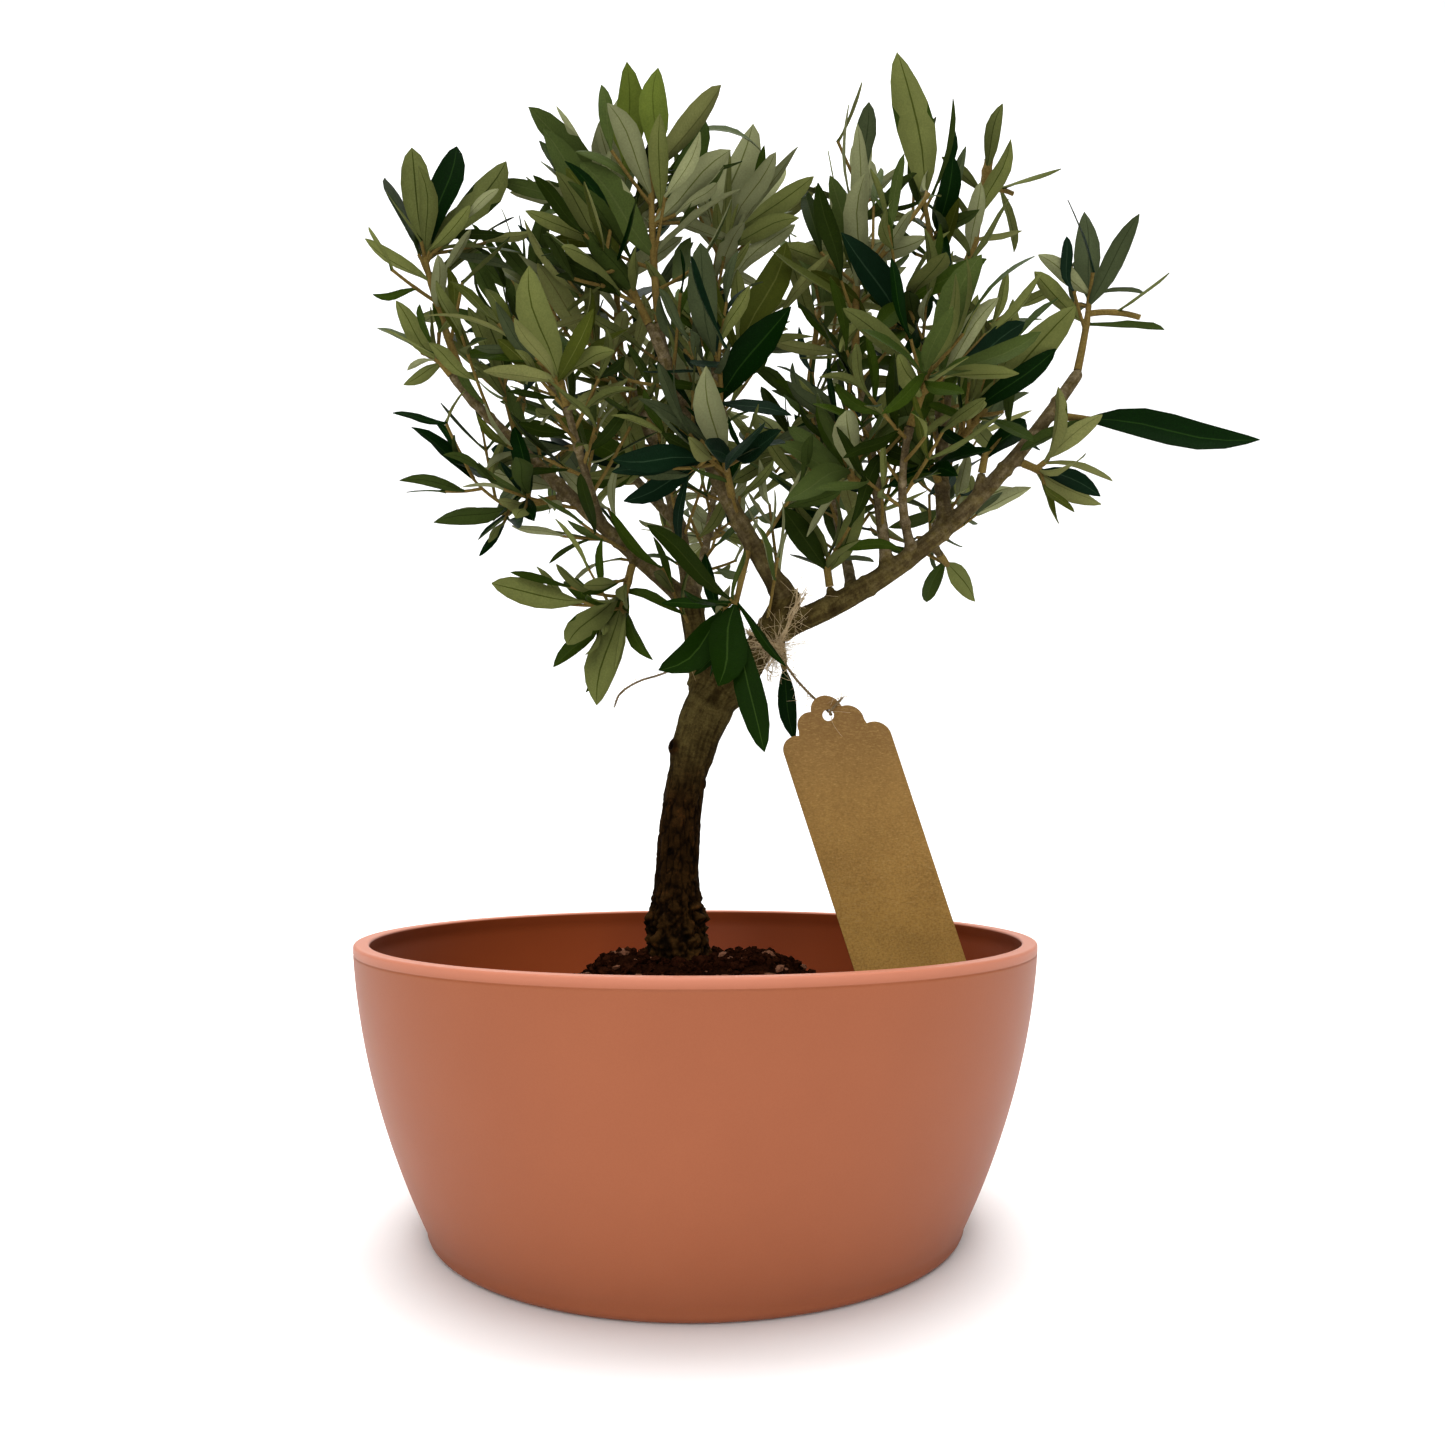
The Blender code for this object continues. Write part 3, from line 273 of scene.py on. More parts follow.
FOLIAGE = (
    Mass("far_left_crest", "far_left_bough", 1.0,
         ((-108, -30, 399, 38, PALE), (-90, -34, 397, 37, DARK), (-118, -30, 387, 33, EDGE),
          (-73, -26, 396, 41, PALE)),
         34, 0, 147, 24, 0.35),
    Mass("far_left_spray", "far_left_bough", 1.0,
         ((-110, -38, 335, 25, PALE), (-107, -36, 304, 22, PALE), (-121, -24, 331, 22, EDGE)), 24, 1, 129, 22),
    Mass("far_left_low_spray", "far_left_bough", 0.56,
         ((-98, -24, 256, 28, PALE), (-62, -50, 272, 26, DARK), (-79, -20, 282, 26, EDGE),
          (-106, -28, 291, 28, EDGE)),
         32, 0, 212),
    Mass("left_hanging_spray", "far_left_bough", 0.22,
         ((-36, -30, 187, 42, PALE), (-46, -36, 208, 34, PALE), (-76, -24, 233, 34, PALE)), 34, 1, 188, 26, 0.1),
    Mass("front_left_spray", "front_left_bough", 1.0,
         ((-58, -58, 338, 40, PALE), (-70, -50, 315, 24, DARK)), 36, 2, 171),
    Mass("upper_left_crest", "left_upright", 1.0,
         ((-28, -18, 442, 47, PALE), (-66, -20, 422, 40, DARK), (-60, 0, 419, 32, PALE)), 42, 2, 116, 30, 0.2),
    Mass("inner_left_spray", "left_upright", 0.62, ((-66, 6, 372, 38, PALE), (-30, 2, 330, 36, DARK)), 38, 2, 164),
    Mass("rear_left_crest", "rear_left_bough", 1.0, ((-84, 46, 404, 44, PALE),), 42, 3, 152, 34),
    Mass("rear_left_spray", "rear_left_bough", 0.62, ((-98, 76, 318, 42, DARK),), 40, 2, 226, 32),
    Mass("back_crest", "back_bough", 1.0, ((-14, 88, 384, 44, PALE),), 42, 3, 207, 34),
    Mass("back_low_spray", "back_bough", 0.6, ((14, 122, 292, 42, DARK),), 40, 2, 163, 32),
    Mass("mid_crest", "mid_bough", 1.0,
         ((-15, -30, 431, 36, PALE), (3, -30, 410, 35, DARK), (12, -20, 403, 36, PALE), (-43, -40, 387, 44, DARK)),
         42, 1, 116, 28, 0.3),
    Mass("mid_left_spray", "mid_bough", 1.0, ((-47, -48, 380, 37, DARK), (-38, -54, 353, 34, PALE)), 38, 2, 141),
    Mass("mid_front_spray", "mid_bough", 0.7, ((34, -48, 328, 44, DARK), (2, -70, 340, 38, PALE)), 36, 1, 169),
    Mass("centre_spray", "mid_bough", 0.36, ((4, -72, 296, 40, PALE), (-28, -60, 268, 34, DARK)), 38, 2, 131),
    Mass("front_hanging_spray", "mid_bough", 0.22,
         ((8, -46, 192, 36, DARK), (24, -46, 169, 50, DARK), (-13, -42, 198, 34, DARK), (-17, -46, 249, 40, DARK)),
         30, 0, 132, 22, 0.8),
    Mass("limb_hanging_spray", "right_limb", 0.86, ((37, -8, 176, 34, DARK),), 30, 0, 214, 14, 0.85),
    Mass("mid_right_crest", "mid_upright", 1.0, ((22, 0, 428, 50, PALE), (46, -6, 402, 34, PALE)), 44, 2, 189),
    Mass("mid_right_spray", "mid_upright", 0.55, ((34, -22, 366, 42, DARK), (44, -30, 330, 36, PALE)), 40, 1, 213),
    Mass("inner_right_crest", "inner_right_upright", 1.0,
         ((70, 8, 431, 34, PALE), (50, -30, 388, 40, DARK)), 42, 2, 127),
    Mass("inner_right_spray", "inner_right_upright", 0.42,
         ((30, -30, 284, 38, DARK), (52, -58, 286, 34, PALE)), 36, 1, 206),
    Mass("right_crest", "right_upright", 1.0,
         ((123, 20, 427, 0, EDGE), (133, 22, 411, 0, EDGE), (116, 8, 408, 28, PALE)), 34, 1, 212, 22, 0.3),
    Mass("top_leaf_spray", "right_upright", 0.84,
         ((81, 0, 459, 60, PALE), (100, -14, 406, 28, DARK)), 40, 1, 104, 26, 0.35),
    Mass("right_front_spray", "right_upright", 0.5,
         ((57, -28, 390, 52, DARK), (53, -40, 360, 44, DARK), (88, -56, 344, 36, PALE)), 38, 1, 125),
    Mass("right_side_spray", "right_upright", 0.3,
         ((138, -40, 332, 47, PALE), (120, 2, 338, 38, DARK)), 38, 2, 143),
    Mass("far_right_crest", "right_bough", 1.0,
         ((153, -8, 386, 40, PALE), (163, -8, 391, 42, PALE), (161, -20, 368, 39, EDGE), (169, -20, 337, 0, EDGE)),
         34, 0, 115, 20, 0.4),
    Mass("far_right_flag", "right_bough", 0.88, ((203, -40, 282, 60, DARK),), 30, 0, 162, 22, 0.6),
    Mass("right_low_spray", "right_bough", 0.74,
         ((147, -34, 263, 34, DARK), (152, -20, 264, 36, PALE), (150, -30, 295, 24, PALE)), 34, 0, 154, 24),
    Mass("under_right_spray", "right_bough", 0.42,
         ((115, 30, 237, 34, PALE), (94, 26, 236, 30, DARK)), 30, 0, 222, 24, 0.8),
    Mass("front_right_spray", "front_right_bough", 1.0,
         ((98, -66, 338, 42, DARK), (68, -72, 300, 34, PALE)), 40, 2, 179),
    Mass("rear_right_crest", "rear_right_bough", 1.0, ((66, 56, 420, 44, DARK),), 42, 2, 225, 34),
    Mass("rear_right_spray", "rear_right_bough", 0.55, ((24, 84, 338, 42, PALE),), 40, 2, 108, 32),
    Mass("back_right_crest", "back_right_bough", 1.0, ((134, 84, 376, 44, DARK),), 42, 3, 140, 34),
    Mass("back_right_spray", "back_right_bough", 0.55, ((142, 70, 298, 42, PALE),), 38, 1, 214, 26),
    Mass("lower_left_spray", "left_upright", 0.42,
         ((-52, 4, 302, 34, DARK), (-36, 6, 320, 34, PALE), (-26, 6, 300, 30, PALE)), 30, 1, 292, 22, 0.2),
    Mass("left_inner_spray", "far_left_bough", 0.8,
         ((-84, -16, 345, 36, PALE), (-76, -12, 322, 32, DARK)), 32, 1, 205, 20),
    Mass("centre_right_spray", "inner_right_upright", 0.6,
         ((38, -12, 318, 34, PALE), (46, -6, 298, 30, DARK)), 30, 1, 185, 22, 0.2),
    Mass("low_centre_spray", "right_bough", 0.08,
         ((44, -22, 274, 34, PALE), (62, -26, 264, 34, PALE), (32, -22, 262, 30, DARK)), 30, 1, 223, 22, 0.15),
    Mass("right_inner_spray", "right_upright", 0.12,
         ((80, -28, 294, 34, PALE), (72, -18, 272, 32, DARK), (98, -26, 278, 30, PALE)), 30, 1, 120, 22, 0.15),
    Mass("right_middle_spray", "right_bough", 0.6,
         ((112, -24, 302, 34, PALE), (128, -6, 302, 32, DARK)), 30, 1, 102, 22, 0.2),
)


Child = Limb | Mass


class Plan:
    """Where every limb and spray starts, worked out from the tables, parents before children."""

    def __init__(self, limbs: Sequence[Limb], masses: Sequence[Mass]) -> None:
        """Places each foot on its parent.

        Args:
            limbs: the trunk first, then limbs and boughs.
            masses: the masses of foliage.
        """
        self.limbs = {limb.name: limb for limb in limbs}
        self.masses = list(masses)
        self.everyone: list[Child] = [*limbs, *masses]
        self.starts: dict[str, Vector] = {}
        self.headings: dict[str, Vector] = {}
        for child in self.everyone:
            if child.parent:
                start = self.limbs[child.parent].drawn(child.station)
                heading = self.first_heading(child)
                child.foot = start + heading * self.spur_length(child, heading)
                self.starts[child.name] = start
                self.headings[child.name] = heading

    def first_heading(self, child: Child) -> Vector:
        """The way a child sets off: to its bend, or for a mass between its parent's line and its first tip.

        Args:
            child: a limb or a mass.

        Returns:
            A unit vector.
        """
        parent = self.limbs[child.parent]
        start = parent.drawn(child.station)
        if isinstance(child, Limb):
            return (Vector(child.bend) * MM - start).normalized()
        to_peak = (child.ends()[0] - start).normalized()
        along = 0.5 if child.station > END_STATION else 0.0
        return (to_peak + parent.heading(child.station) * along).normalized()

    def spur_length(self, child: Child, heading: Vector) -> float:
        """How far from its parent's middle line a child starts, to clear the parent and the limbs beside it.

        Args:
            child: a limb or a mass.
            heading: the way it sets off.

        Returns:
            The distance in metres.
        """
        parent = self.limbs[child.parent]
        tilt = heading.angle(parent.heading(child.station))
        reach = parent.radius(child.station) + child.foot_radius() * abs(math.cos(tilt))
        out = reach / max(LEAST_LEAN, math.sin(tilt))
        if child.station > END_STATION:
            out = min(out, child.foot_radius() * math.tan(min(tilt, STEEPEST_TILT)))
        for other in self.everyone:
            beside = other.parent == child.parent and abs(other.station - child.station) < SAME_STATION
            if other is not child and beside:
                out = max(out, parent.radius(child.station) * KNUCKLE)
                half = heading.angle(self.first_heading(other)) / 2
                out = max(out, FORK_ROOM * max(child.foot_radius(), other.foot_radius()) / math.tan(half))
        return out + LEAST_SPUR


def across(axis: Vector, turn: float) -> Vector:
    """A unit vector square to the axis, turned about it.

    Args:
        axis: a unit vector.
        turn: the angle about it.

    Returns:
        The vector.
    """
    side = axis.cross(UP)
    if side.length < 0.05:
        side = axis.cross(Vector((0.0, 1.0, 0.0)))
    return Matrix.Rotation(turn, 3, axis) @ side.normalized()


def slanted(axis: Vector, turn: float, spread: float) -> Vector:
    """A unit vector at an angle to the axis, turned about it."""
    return axis * math.cos(spread) + across(axis, turn) * math.sin(spread)


@dataclass
class Leaf:
    """One leaf: its root in the twig, its way, its upper side, its length and its place up the shoot."""

    root: Vector
    way: Vector
    upper: Vector
    length: float
    station: float = 1.0
    tip_index: int = -1
    bend: float = 0.03
    sweep: float = 0.0
    breadth: float = 1.0
    fine: bool = False

    def tip(self) -> Vector:
        """The leaf's point."""
        return self.root + self.way * self.length

    def rerooted(self, root: Vector) -> None:
        """Moves the root and keeps the point where it is.

        Args:
            root: the new root.
        """
        tip = self.tip()
        self.root = root
        self.length = (tip - root).length
        self.way = (tip - root).normalized()
        self.upper = (self.upper - self.way * self.upper.dot(self.way)).normalized()


@dataclass
class Shoot:
    """One twig as a curve from foot through bend to tip, drawn up to a share of it."""

    foot: Vector
    bend: Vector
    tip: Vector
    foot_radius: float
    leaves: list[Leaf] = field(default_factory=list)
    cut: bool = False
    reach: float = 1.0

    def length(self) -> float:
        """The straight distance from foot to tip."""
        return (self.tip - self.foot).length

    def point(self, t: float) -> Vector:
        """A place on the curve."""
        return self.foot * (1 - t) ** 2 + self.bend * 2 * t * (1 - t) + self.tip * t**2

    def heading(self, t: float) -> Vector:
        """The unit direction of the curve there."""
        return ((self.bend - self.foot) * (1 - t) + (self.tip - self.bend) * t).normalized()

    def radius(self, t: float) -> float:
        """An even taper."""
        return self.foot_radius * (1 - t) + TWIG_END_RADIUS * t

    def drawn(self, t: float) -> Vector:
        """A place on the twig as the solid has it, straight from ring to ring.

        Args:
            t: the share of its length.

        Returns:
            The place.
        """
        count = max(1, round(self.length() / TWIG_RING_SPACING))
        index = min(count - 1, int(t * count))
        return self.point(index / count).lerp(self.point((index + 1) / count), t * count - index)

    def nodes(self, bare: float) -> list[float]:
        """The shares of the length at which leaf pairs stand, past the bare stretch."""
        pairs = max(1, round(self.length() * (1 - bare) / NODE_SPACING))
        return [bare + (1 - bare) * (pair + 0.35) / pairs for pair in range(pairs)]


class Growth:
    """The seeded rule by which a mass's twigs and leaves grow, with its random draws in one fixed order."""

    def __init__(self, mass: Mass, start_heading: Vector) -> None:
        """Takes the mass and the way its stem sets off."""
        self.mass = mass
        self.heading = start_heading
        self.rng = random.Random(mass.seed)

    @staticmethod
    def leaf_at(root: Vector, axis: Vector, turn: float, spread: float, droop: float,
                roll: float, length: float) -> Leaf:
        """A leaf that leaves the axis at an angle, hangs a little and looks up the shoot with its upper side.

        Args:
            root: where it starts.
            axis: the way of the shoot there.
            turn: its bearing round the shoot.
            spread: its angle to the shoot.
            droop: how much it hangs.
            roll: its turn about its own way.
            length: of the leaf.

        Returns:
            The leaf.
        """
        way = slanted(axis, turn, spread)
        way = (way - UP * droop).normalized()
        upper = (axis - way * axis.dot(way)).normalized()
        return Leaf(root - way * LEAF_SUNK, way, Matrix.Rotation(roll, 3, way) @ upper, length)

    def leaves_of(self, shoot: Shoot, bare: float, usual: float) -> list[Leaf]:
        """Opposite pairs of leaves up one shoot, each pair a quarter turn from the one below.

        Args:
            shoot: the twig that bears them.
            bare: share of its length without leaves.
            usual: a leaf's usual length in mm.

        Returns:
            The leaves, from the foot up.
        """
        rng = self.rng
        turn = rng.uniform(0.0, math.pi)
        leaves = []
        for t in shoot.nodes(bare):
            turn += math.pi / 2 + rng.uniform(-PAIR_TURN_STRAY, PAIR_TURN_STRAY)
            for half in range(2):
                spread = math.radians(rng.uniform(*PAIR_SPREAD) - PAIR_SPREAD_FALL * t)
                droop, roll = rng.uniform(*LEAF_DROOP), rng.uniform(*LEAF_ROLL)
                size = usual * MM * rng.uniform(*LEAF_SIZES) * (0.86 + 0.2 * t)
                bearing = turn + half * math.pi
                leaf = self.leaf_at(shoot.drawn(t), shoot.heading(t), bearing, spread, droop, roll, size)
                leaf.station = t
                leaves.append(leaf)
        return leaves

    def lead_shoot(self) -> Shoot:
        """The stem itself, from the mass's foot to one leaf short of its first tip."""
        mass = self.mass
        tip = mass.ends()[0]
        reach = (tip - mass.foot).length
        length = min(mass.tips[0][3] * MM, reach - LEAST_STEM)
        bend = mass.foot + self.heading * reach * 0.3
        end = tip - (tip - bend).normalized() * length
        return Shoot(mass.foot, bend.lerp(end, 0.25), end, STEM_RADIUS)

    @staticmethod
    def shoot_to(lead: Shoot, tip: Vector, length: float) -> Shoot:
        """A twig that leaves the lead where it has about a leaf and a node to go to the tip.

        Args:
            lead: the stem.
            tip: where its last leaf ends.
            length: of that leaf.

        Returns:
            The twig.
        """
        wanted = length + TIP_TWIG
        share = min(TIP_STATIONS, key=lambda t: abs((lead.point(t) - tip).length - wanted))
        foot = lead.point(share)
        end = foot + (tip - foot) * max(0.0, 1 - length / (tip - foot).length)
        bend = foot.lerp(end, 0.5) + lead.heading(share) * (end - foot).length * 0.15
        return Shoot(foot, bend, end, lead.radius(share) * CHILD_TWIG_SHARE)

    def side_shoot(self, lead: Shoot, share: float, turn: float) -> Shoot:
        """A twig that leaves the lead at a random slant and grows to a share of its length.

        Args:
            lead: the stem.
            share: how far up the stem it starts.
            turn: its bearing round the stem.

        Returns:
            The twig.
        """
        axis = lead.heading(share)
        spread = math.radians(self.rng.uniform(*SIDE_TWIG_SPREAD))
        way = slanted(axis, turn, spread)
        length = lead.length() * self.rng.uniform(*SIDE_TWIG_LENGTHS)
        foot = lead.point(share)
        bend, tip = foot + way * length * 0.5, foot + way * length + axis * length * 0.2
        return Shoot(foot, bend, tip, lead.radius(share) * CHILD_TWIG_SHARE)

    def tip_leaf(self, shoot: Shoot, end: Vector, look: Look) -> Leaf:
        """The leaf whose point is a tip of the mass, rolled to show the side that it shows.

        Args:
            shoot: the twig that it ends.
            end: the tip of the mass.
            look: the side that it shows.

        Returns:
            The leaf.
        """
        axis = (end - shoot.tip).normalized()
        root = shoot.tip - axis * MM
        leaf = self.leaf_at(root, axis, self.rng.uniform(0.0, math.pi), 0.02, 0.0, 0.0, (end - root).length)
        leaf.way, leaf.root = axis, root
        front = Vector((0.0, -float(look), 0.0))
        upper = front - axis * front.dot(axis)
        if look and upper.length > 0.2:
            leaf.upper = upper.normalized()
        return leaf

    def shoots(self) -> list[Shoot]:
        """Every twig of the mass with all its leaves: to the tips first, then a golden angle apart."""
        mass, rng = self.mass, self.rng
        lead = self.lead_shoot()
        made = []
        for index, (end, tip) in enumerate(zip(mass.ends(), mass.tips)):
            length = tip[3] * MM
            shoot = self.shoot_to(lead, end, length) if index else lead
            shoot.leaves = self.leaves_of(shoot, SIDE_BARE if index else mass.bare, mass.leaf)
            shoot.cut = not length
            if length:
                leaf = self.tip_leaf(shoot, end, tip[4])
                leaf.tip_index = index
                shoot.leaves.insert(0, leaf)
            made.append(shoot)
        turn = rng.uniform(0.0, 2 * math.pi)
        for index in range(mass.extra):
            turn += GOLDEN_ANGLE + rng.uniform(-0.3, 0.3)
            share = 0.2 + 0.65 * (index + rng.uniform(0.2, 0.8)) / mass.extra
            shoot = self.side_shoot(lead, share, turn)
            shoot.leaves = self.leaves_of(shoot, SIDE_BARE, mass.leaf)
            shoot.leaves.append(self.end_leaf(shoot, turn))
            made.append(shoot)
        return made

    def end_leaf(self, shoot: Shoot, turn: float) -> Leaf:
        """The leaf that ends a side twig and goes on the way it went."""
        axis = shoot.heading(1.0)
        roll = self.rng.uniform(-1, 1)
        return self.leaf_at(shoot.tip - axis * MM, axis, turn, 0.02, 0.0, roll, self.mass.leaf * 0.85 * MM)


# Surfaces as arrays


LATTICE_FACTORS = np.array([374761393, 668265263, 1274126177])  # large primes
LATTICE_SEED_FACTOR = 974711
LATTICE_MASK = 0xFFFFFFFF


def lattice_values(cells: Array, seed: int) -> Array:
    """A fixed pseudo-random number for each whole-number cell: its coordinates are mixed bit by bit.

    Args:
        cells: whole numbers, shape (..., 3).
        seed: picks another set of numbers.

    Returns:
        Numbers from 0 to 1, shape (...).
    """
    mixed = ((cells * LATTICE_FACTORS).sum(-1) + seed * LATTICE_SEED_FACTOR) & LATTICE_MASK
    mixed = ((mixed ^ (mixed >> 13)) * LATTICE_FACTORS[2]) & LATTICE_MASK
    return (mixed ^ (mixed >> 16)) / float(LATTICE_MASK)


def smooth_noise(points: Array, seed: int = 0) -> Array:
    """Noise from -1 to 1: the eight corners' lattice values, blended by 3f^2 - 2f^3 of the place f within the cell.

    Args:
        points: places with one lump to a unit, shape (..., 3).
        seed: picks another noise.

    Returns:
        The noise, shape (...).
    """
    base = np.floor(points).astype(np.int64)
    part = points - base
    part = part * part * (3.0 - 2.0 * part)
    total = np.zeros(points.shape[:-1])
    for corner in range(8):
        step = np.array([(corner >> axis) & 1 for axis in range(3)])
        weight = np.prod(np.where(step == 1, part, 1.0 - part), axis=-1)
        total += weight * lattice_values(base + step, seed)
    return total * 2.0 - 1.0


def layered_noise(points: Array, layers: int, seed: int = 0) -> Array:
    """Noise summed over layers, each twice as fine and half as strong as the one before."""
    return sum(smooth_noise(points * 2.0**k, seed + k) * 0.5**k for k in range(layers))


def eased(low: float, high: float, values: Array) -> Array:
    """0 below low, 1 above high, and 3x^2 - 2x^3 of the share x between them."""
    share = np.clip((values - low) / (high - low), 0.0, 1.0)
    return share * share * (3.0 - 2.0 * share)


def unit(vectors: Array) -> Array:
    """Each vector over its own length."""
    return vectors / np.maximum(np.linalg.norm(vectors, axis=-1, keepdims=True), 1e-12)


def full_turn(steps: int) -> Array:
    """Angles all round, in even steps from 0."""
    return np.linspace(0.0, 2 * np.pi, steps, endpoint=False)


def run_along(path: Array) -> Array:
    """How far each point of a path is from its first one, along the path."""
    return np.concatenate([[0.0], np.cumsum(np.linalg.norm(np.diff(path, axis=0), axis=1))])


def rolled(form: Array, angle: Array, first: int, second: int) -> Array:
    """Forms turned by an angle each in the plane of two axes: (a cos t - b sin t, a sin t + b cos t).

    Args:
        form: shape (count, points, 3).
        angle: by form.
        first: the first axis of the plane.
        second: the second one.

    Returns:
        The turned forms.
    """
    turned_form, cos, sin = form.copy(), np.cos(angle)[:, None], np.sin(angle)[:, None]
    turned_form[..., first] = form[..., first] * cos - form[..., second] * sin
    turned_form[..., second] = form[..., first] * sin + form[..., second] * cos
    return turned_form


def read_vectors(items: bpy.types.bpy_prop_collection, key: str) -> Array:
    """One vector of each item of a mesh, as rows."""
    flat = np.empty(len(items) * 3)
    items.foreach_get(key, flat)
    return flat.reshape(-1, 3)


def placed(name: str, data: bpy.types.ID) -> bpy.types.Object:
    """A new object at the origin, linked to the scene."""
    obj = bpy.data.objects.new(name, data)
    bpy.context.scene.collection.objects.link(obj)
    return obj


def evaluated_mesh(obj: bpy.types.Object) -> bpy.types.Mesh:
    """The mesh that an object's modifiers or its curve give. The object is removed.

    Args:
        obj: the object.

    Returns:
        The mesh.
    """
    bpy.context.view_layer.update()
    mesh = bpy.data.meshes.new_from_object(obj.evaluated_get(bpy.context.evaluated_depsgraph_get()))
    bpy.data.objects.remove(obj)
    return mesh


@dataclass
class Surface:
    """A mesh as arrays: points, faces by their number of corners, a finish for each face, and values by point."""

    points: Array
    faces: list[Array]
    finishes: list[Array]
    values: dict[str, Array] = field(default_factory=dict)

    @staticmethod
    def grid(points: Array, finish: Array | int = 0) -> "Surface":
        """Rows of points joined by quads. Each row is a closed loop, and each end is capped by one flat face.

        Args:
            points: shape (rows, columns, 3).
            finish: one finish number, or one for each column of quads.

        Returns:
            The surface.
        """
        rows, columns = points.shape[:2]
        row, column = np.meshgrid(np.arange(rows - 1) * columns, np.arange(columns), indexing="ij")
        beside = (column + 1) % columns
        quads = np.stack([row + column, row + beside, row + columns + beside, row + columns + column], -1)
        finish_of = np.broadcast_to(np.asarray(finish), (rows - 1, columns))
        first = np.arange(columns)
        ends = np.array([first[::-1], first + (rows - 1) * columns])
        finishes = [finish_of.reshape(-1), np.full(2, finish_of[0, 0])]
        return Surface(points.reshape(-1, 3), [quads.reshape(-1, 4), ends], finishes)

    @staticmethod
    def many(points: Array, pattern: "Surface", finish: Array) -> "Surface":
        """Many copies of one pattern of faces.

        Args:
            points: shape (copies, points of the pattern, 3).
            pattern: the surface whose faces are repeated.
            finish: added to the pattern's finish numbers, one for each copy.

        Returns:
            The surface.
        """
        copies, size = points.shape[:2]
        shift = np.arange(copies)[:, None, None] * size
        faces = [(block[None] + shift).reshape(-1, block.shape[1]) for block in pattern.faces]
        finishes = [(block[None] + np.asarray(finish)[:, None]).reshape(-1) for block in pattern.finishes]
        return Surface(points.reshape(-1, 3), faces, finishes)

    @staticmethod
    def joined(parts: Sequence["Surface"]) -> "Surface":
        """All parts as one surface, without values.

        Args:
            parts: the surfaces.

        Returns:
            One surface.
        """
        faces, finishes, start = [], [], 0
        for part in parts:
            faces += [block + start for block in part.faces]
            finishes += part.finishes
            start += len(part.points)
        return Surface(np.concatenate([part.points for part in parts]), faces, finishes)

    def as_object(self, name: str, materials: Sequence[bpy.types.Material],
                  sharp: Optional[float] = None) -> bpy.types.Object:
        """Puts the surface into a new mesh object at the origin, shaded smooth.

        Args:
            name: the piece's name.
            materials: by finish number.
            sharp: angle in degrees past which an edge is sharp.

        Returns:
            The object, linked to the scene.
        """
        mesh = bpy.data.meshes.new(name)
        mesh.from_pydata(self.points.tolist(), [], [face for block in self.faces for face in block.tolist()])
        for material in materials:
            mesh.materials.append(material)
        mesh.polygons.foreach_set("material_index", np.concatenate(self.finishes).astype(np.int32))
        mesh.polygons.foreach_set("use_smooth", np.ones(len(mesh.polygons), dtype=bool))
        for key, value in self.values.items():
            mesh.attributes.new(key, "FLOAT", "POINT").data.foreach_set("value", value.astype(np.float32))
        if sharp is not None:
            mesh.set_sharp_from_angle(angle=math.radians(sharp))
        mesh.update()
        return placed(name, mesh)


def frames_along(path: Array) -> tuple[Array, Array, Array]:
    """A tangent and two vectors square to it at each point of a path, carried along without twist.

    Args:
        path: shape (n, 3).

    Returns:
        Tangents, sides and ups, each (n, 3). Each side is the one before, less its share along the new tangent.
    """
    tangents = unit(np.gradient(path, axis=0))
    side = np.cross(tangents[0], (0.0, 0.0, 1.0) if abs(tangents[0][2]) < 0.9 else (0.0, 1.0, 0.0))
    sides = np.empty_like(path)
    for index, tangent in enumerate(tangents):
        side = side - tangent * side.dot(tangent)
        side = side / np.linalg.norm(side)
        sides[index] = side
    return tangents, sides, np.cross(tangents, sides)


def tube(path: Array, radii: Array, sides: int, finish: int = 0) -> Surface:
    """A round closed tube: middle + radius * (side * cos a + up * sin a) for each angle a.

    Args:
        path: the middle line, (n, 3).
        radii: by point of the path, (n,).
        sides: how many sides.
        finish: the finish number.

    Returns:
        The tube, capped at both ends.
    """
    _, side, up = frames_along(path)
    angles = full_turn(sides)[:, None]
    ring = side[:, None] * np.cos(angles) + up[:, None] * np.sin(angles)
    return Surface.grid(path[:, None] + ring * np.asarray(radii)[:, None, None], finish)


def rounded(path: Array, radii: Array) -> tuple[Array, Array]:
    """A path and its radii with a half ball added at both ends: r sin a further out, the radius is r cos a.

    Args:
        path: the middle line, (n, 3).
        radii: by point of the path.

    Returns:
        The longer path and its radii.
    """
    turns = np.radians([20.0, 40.0, 60.0, 78.0])
    for _ in range(2):
        path, radii = path[::-1], radii[::-1]
        out = unit(path[-1] - path[-2])
        path = np.concatenate([path, path[-1] + out * radii[-1] * np.sin(turns)[:, None]])
        radii = np.concatenate([radii, radii[-1] * np.cos(turns)])
    return path, radii


def curve_points(curve: "Limb | Shoot", shares: Array) -> Array:
    """Places on a limb's or a twig's middle line, as an array."""
    return np.array([curve.point(float(t)) for t in shares])


def dress(obj: bpy.types.Object, slot: str, *nodes: str) -> bpy.types.Object:
    """Makes a piece ride on the body and stand for the nodes that it replaces.

    Args:
        obj: the piece.
        slot: not used.
        nodes: the nodes that it stands for, if any.

    Returns:
        The same piece.
    """
    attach(obj, BODY)
    if nodes:
        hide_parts(*nodes)
    LOG.info("%s: %d faces, stands for %d nodes", obj.name, len(obj.data.polygons), len(nodes))
    return obj


# Finishes


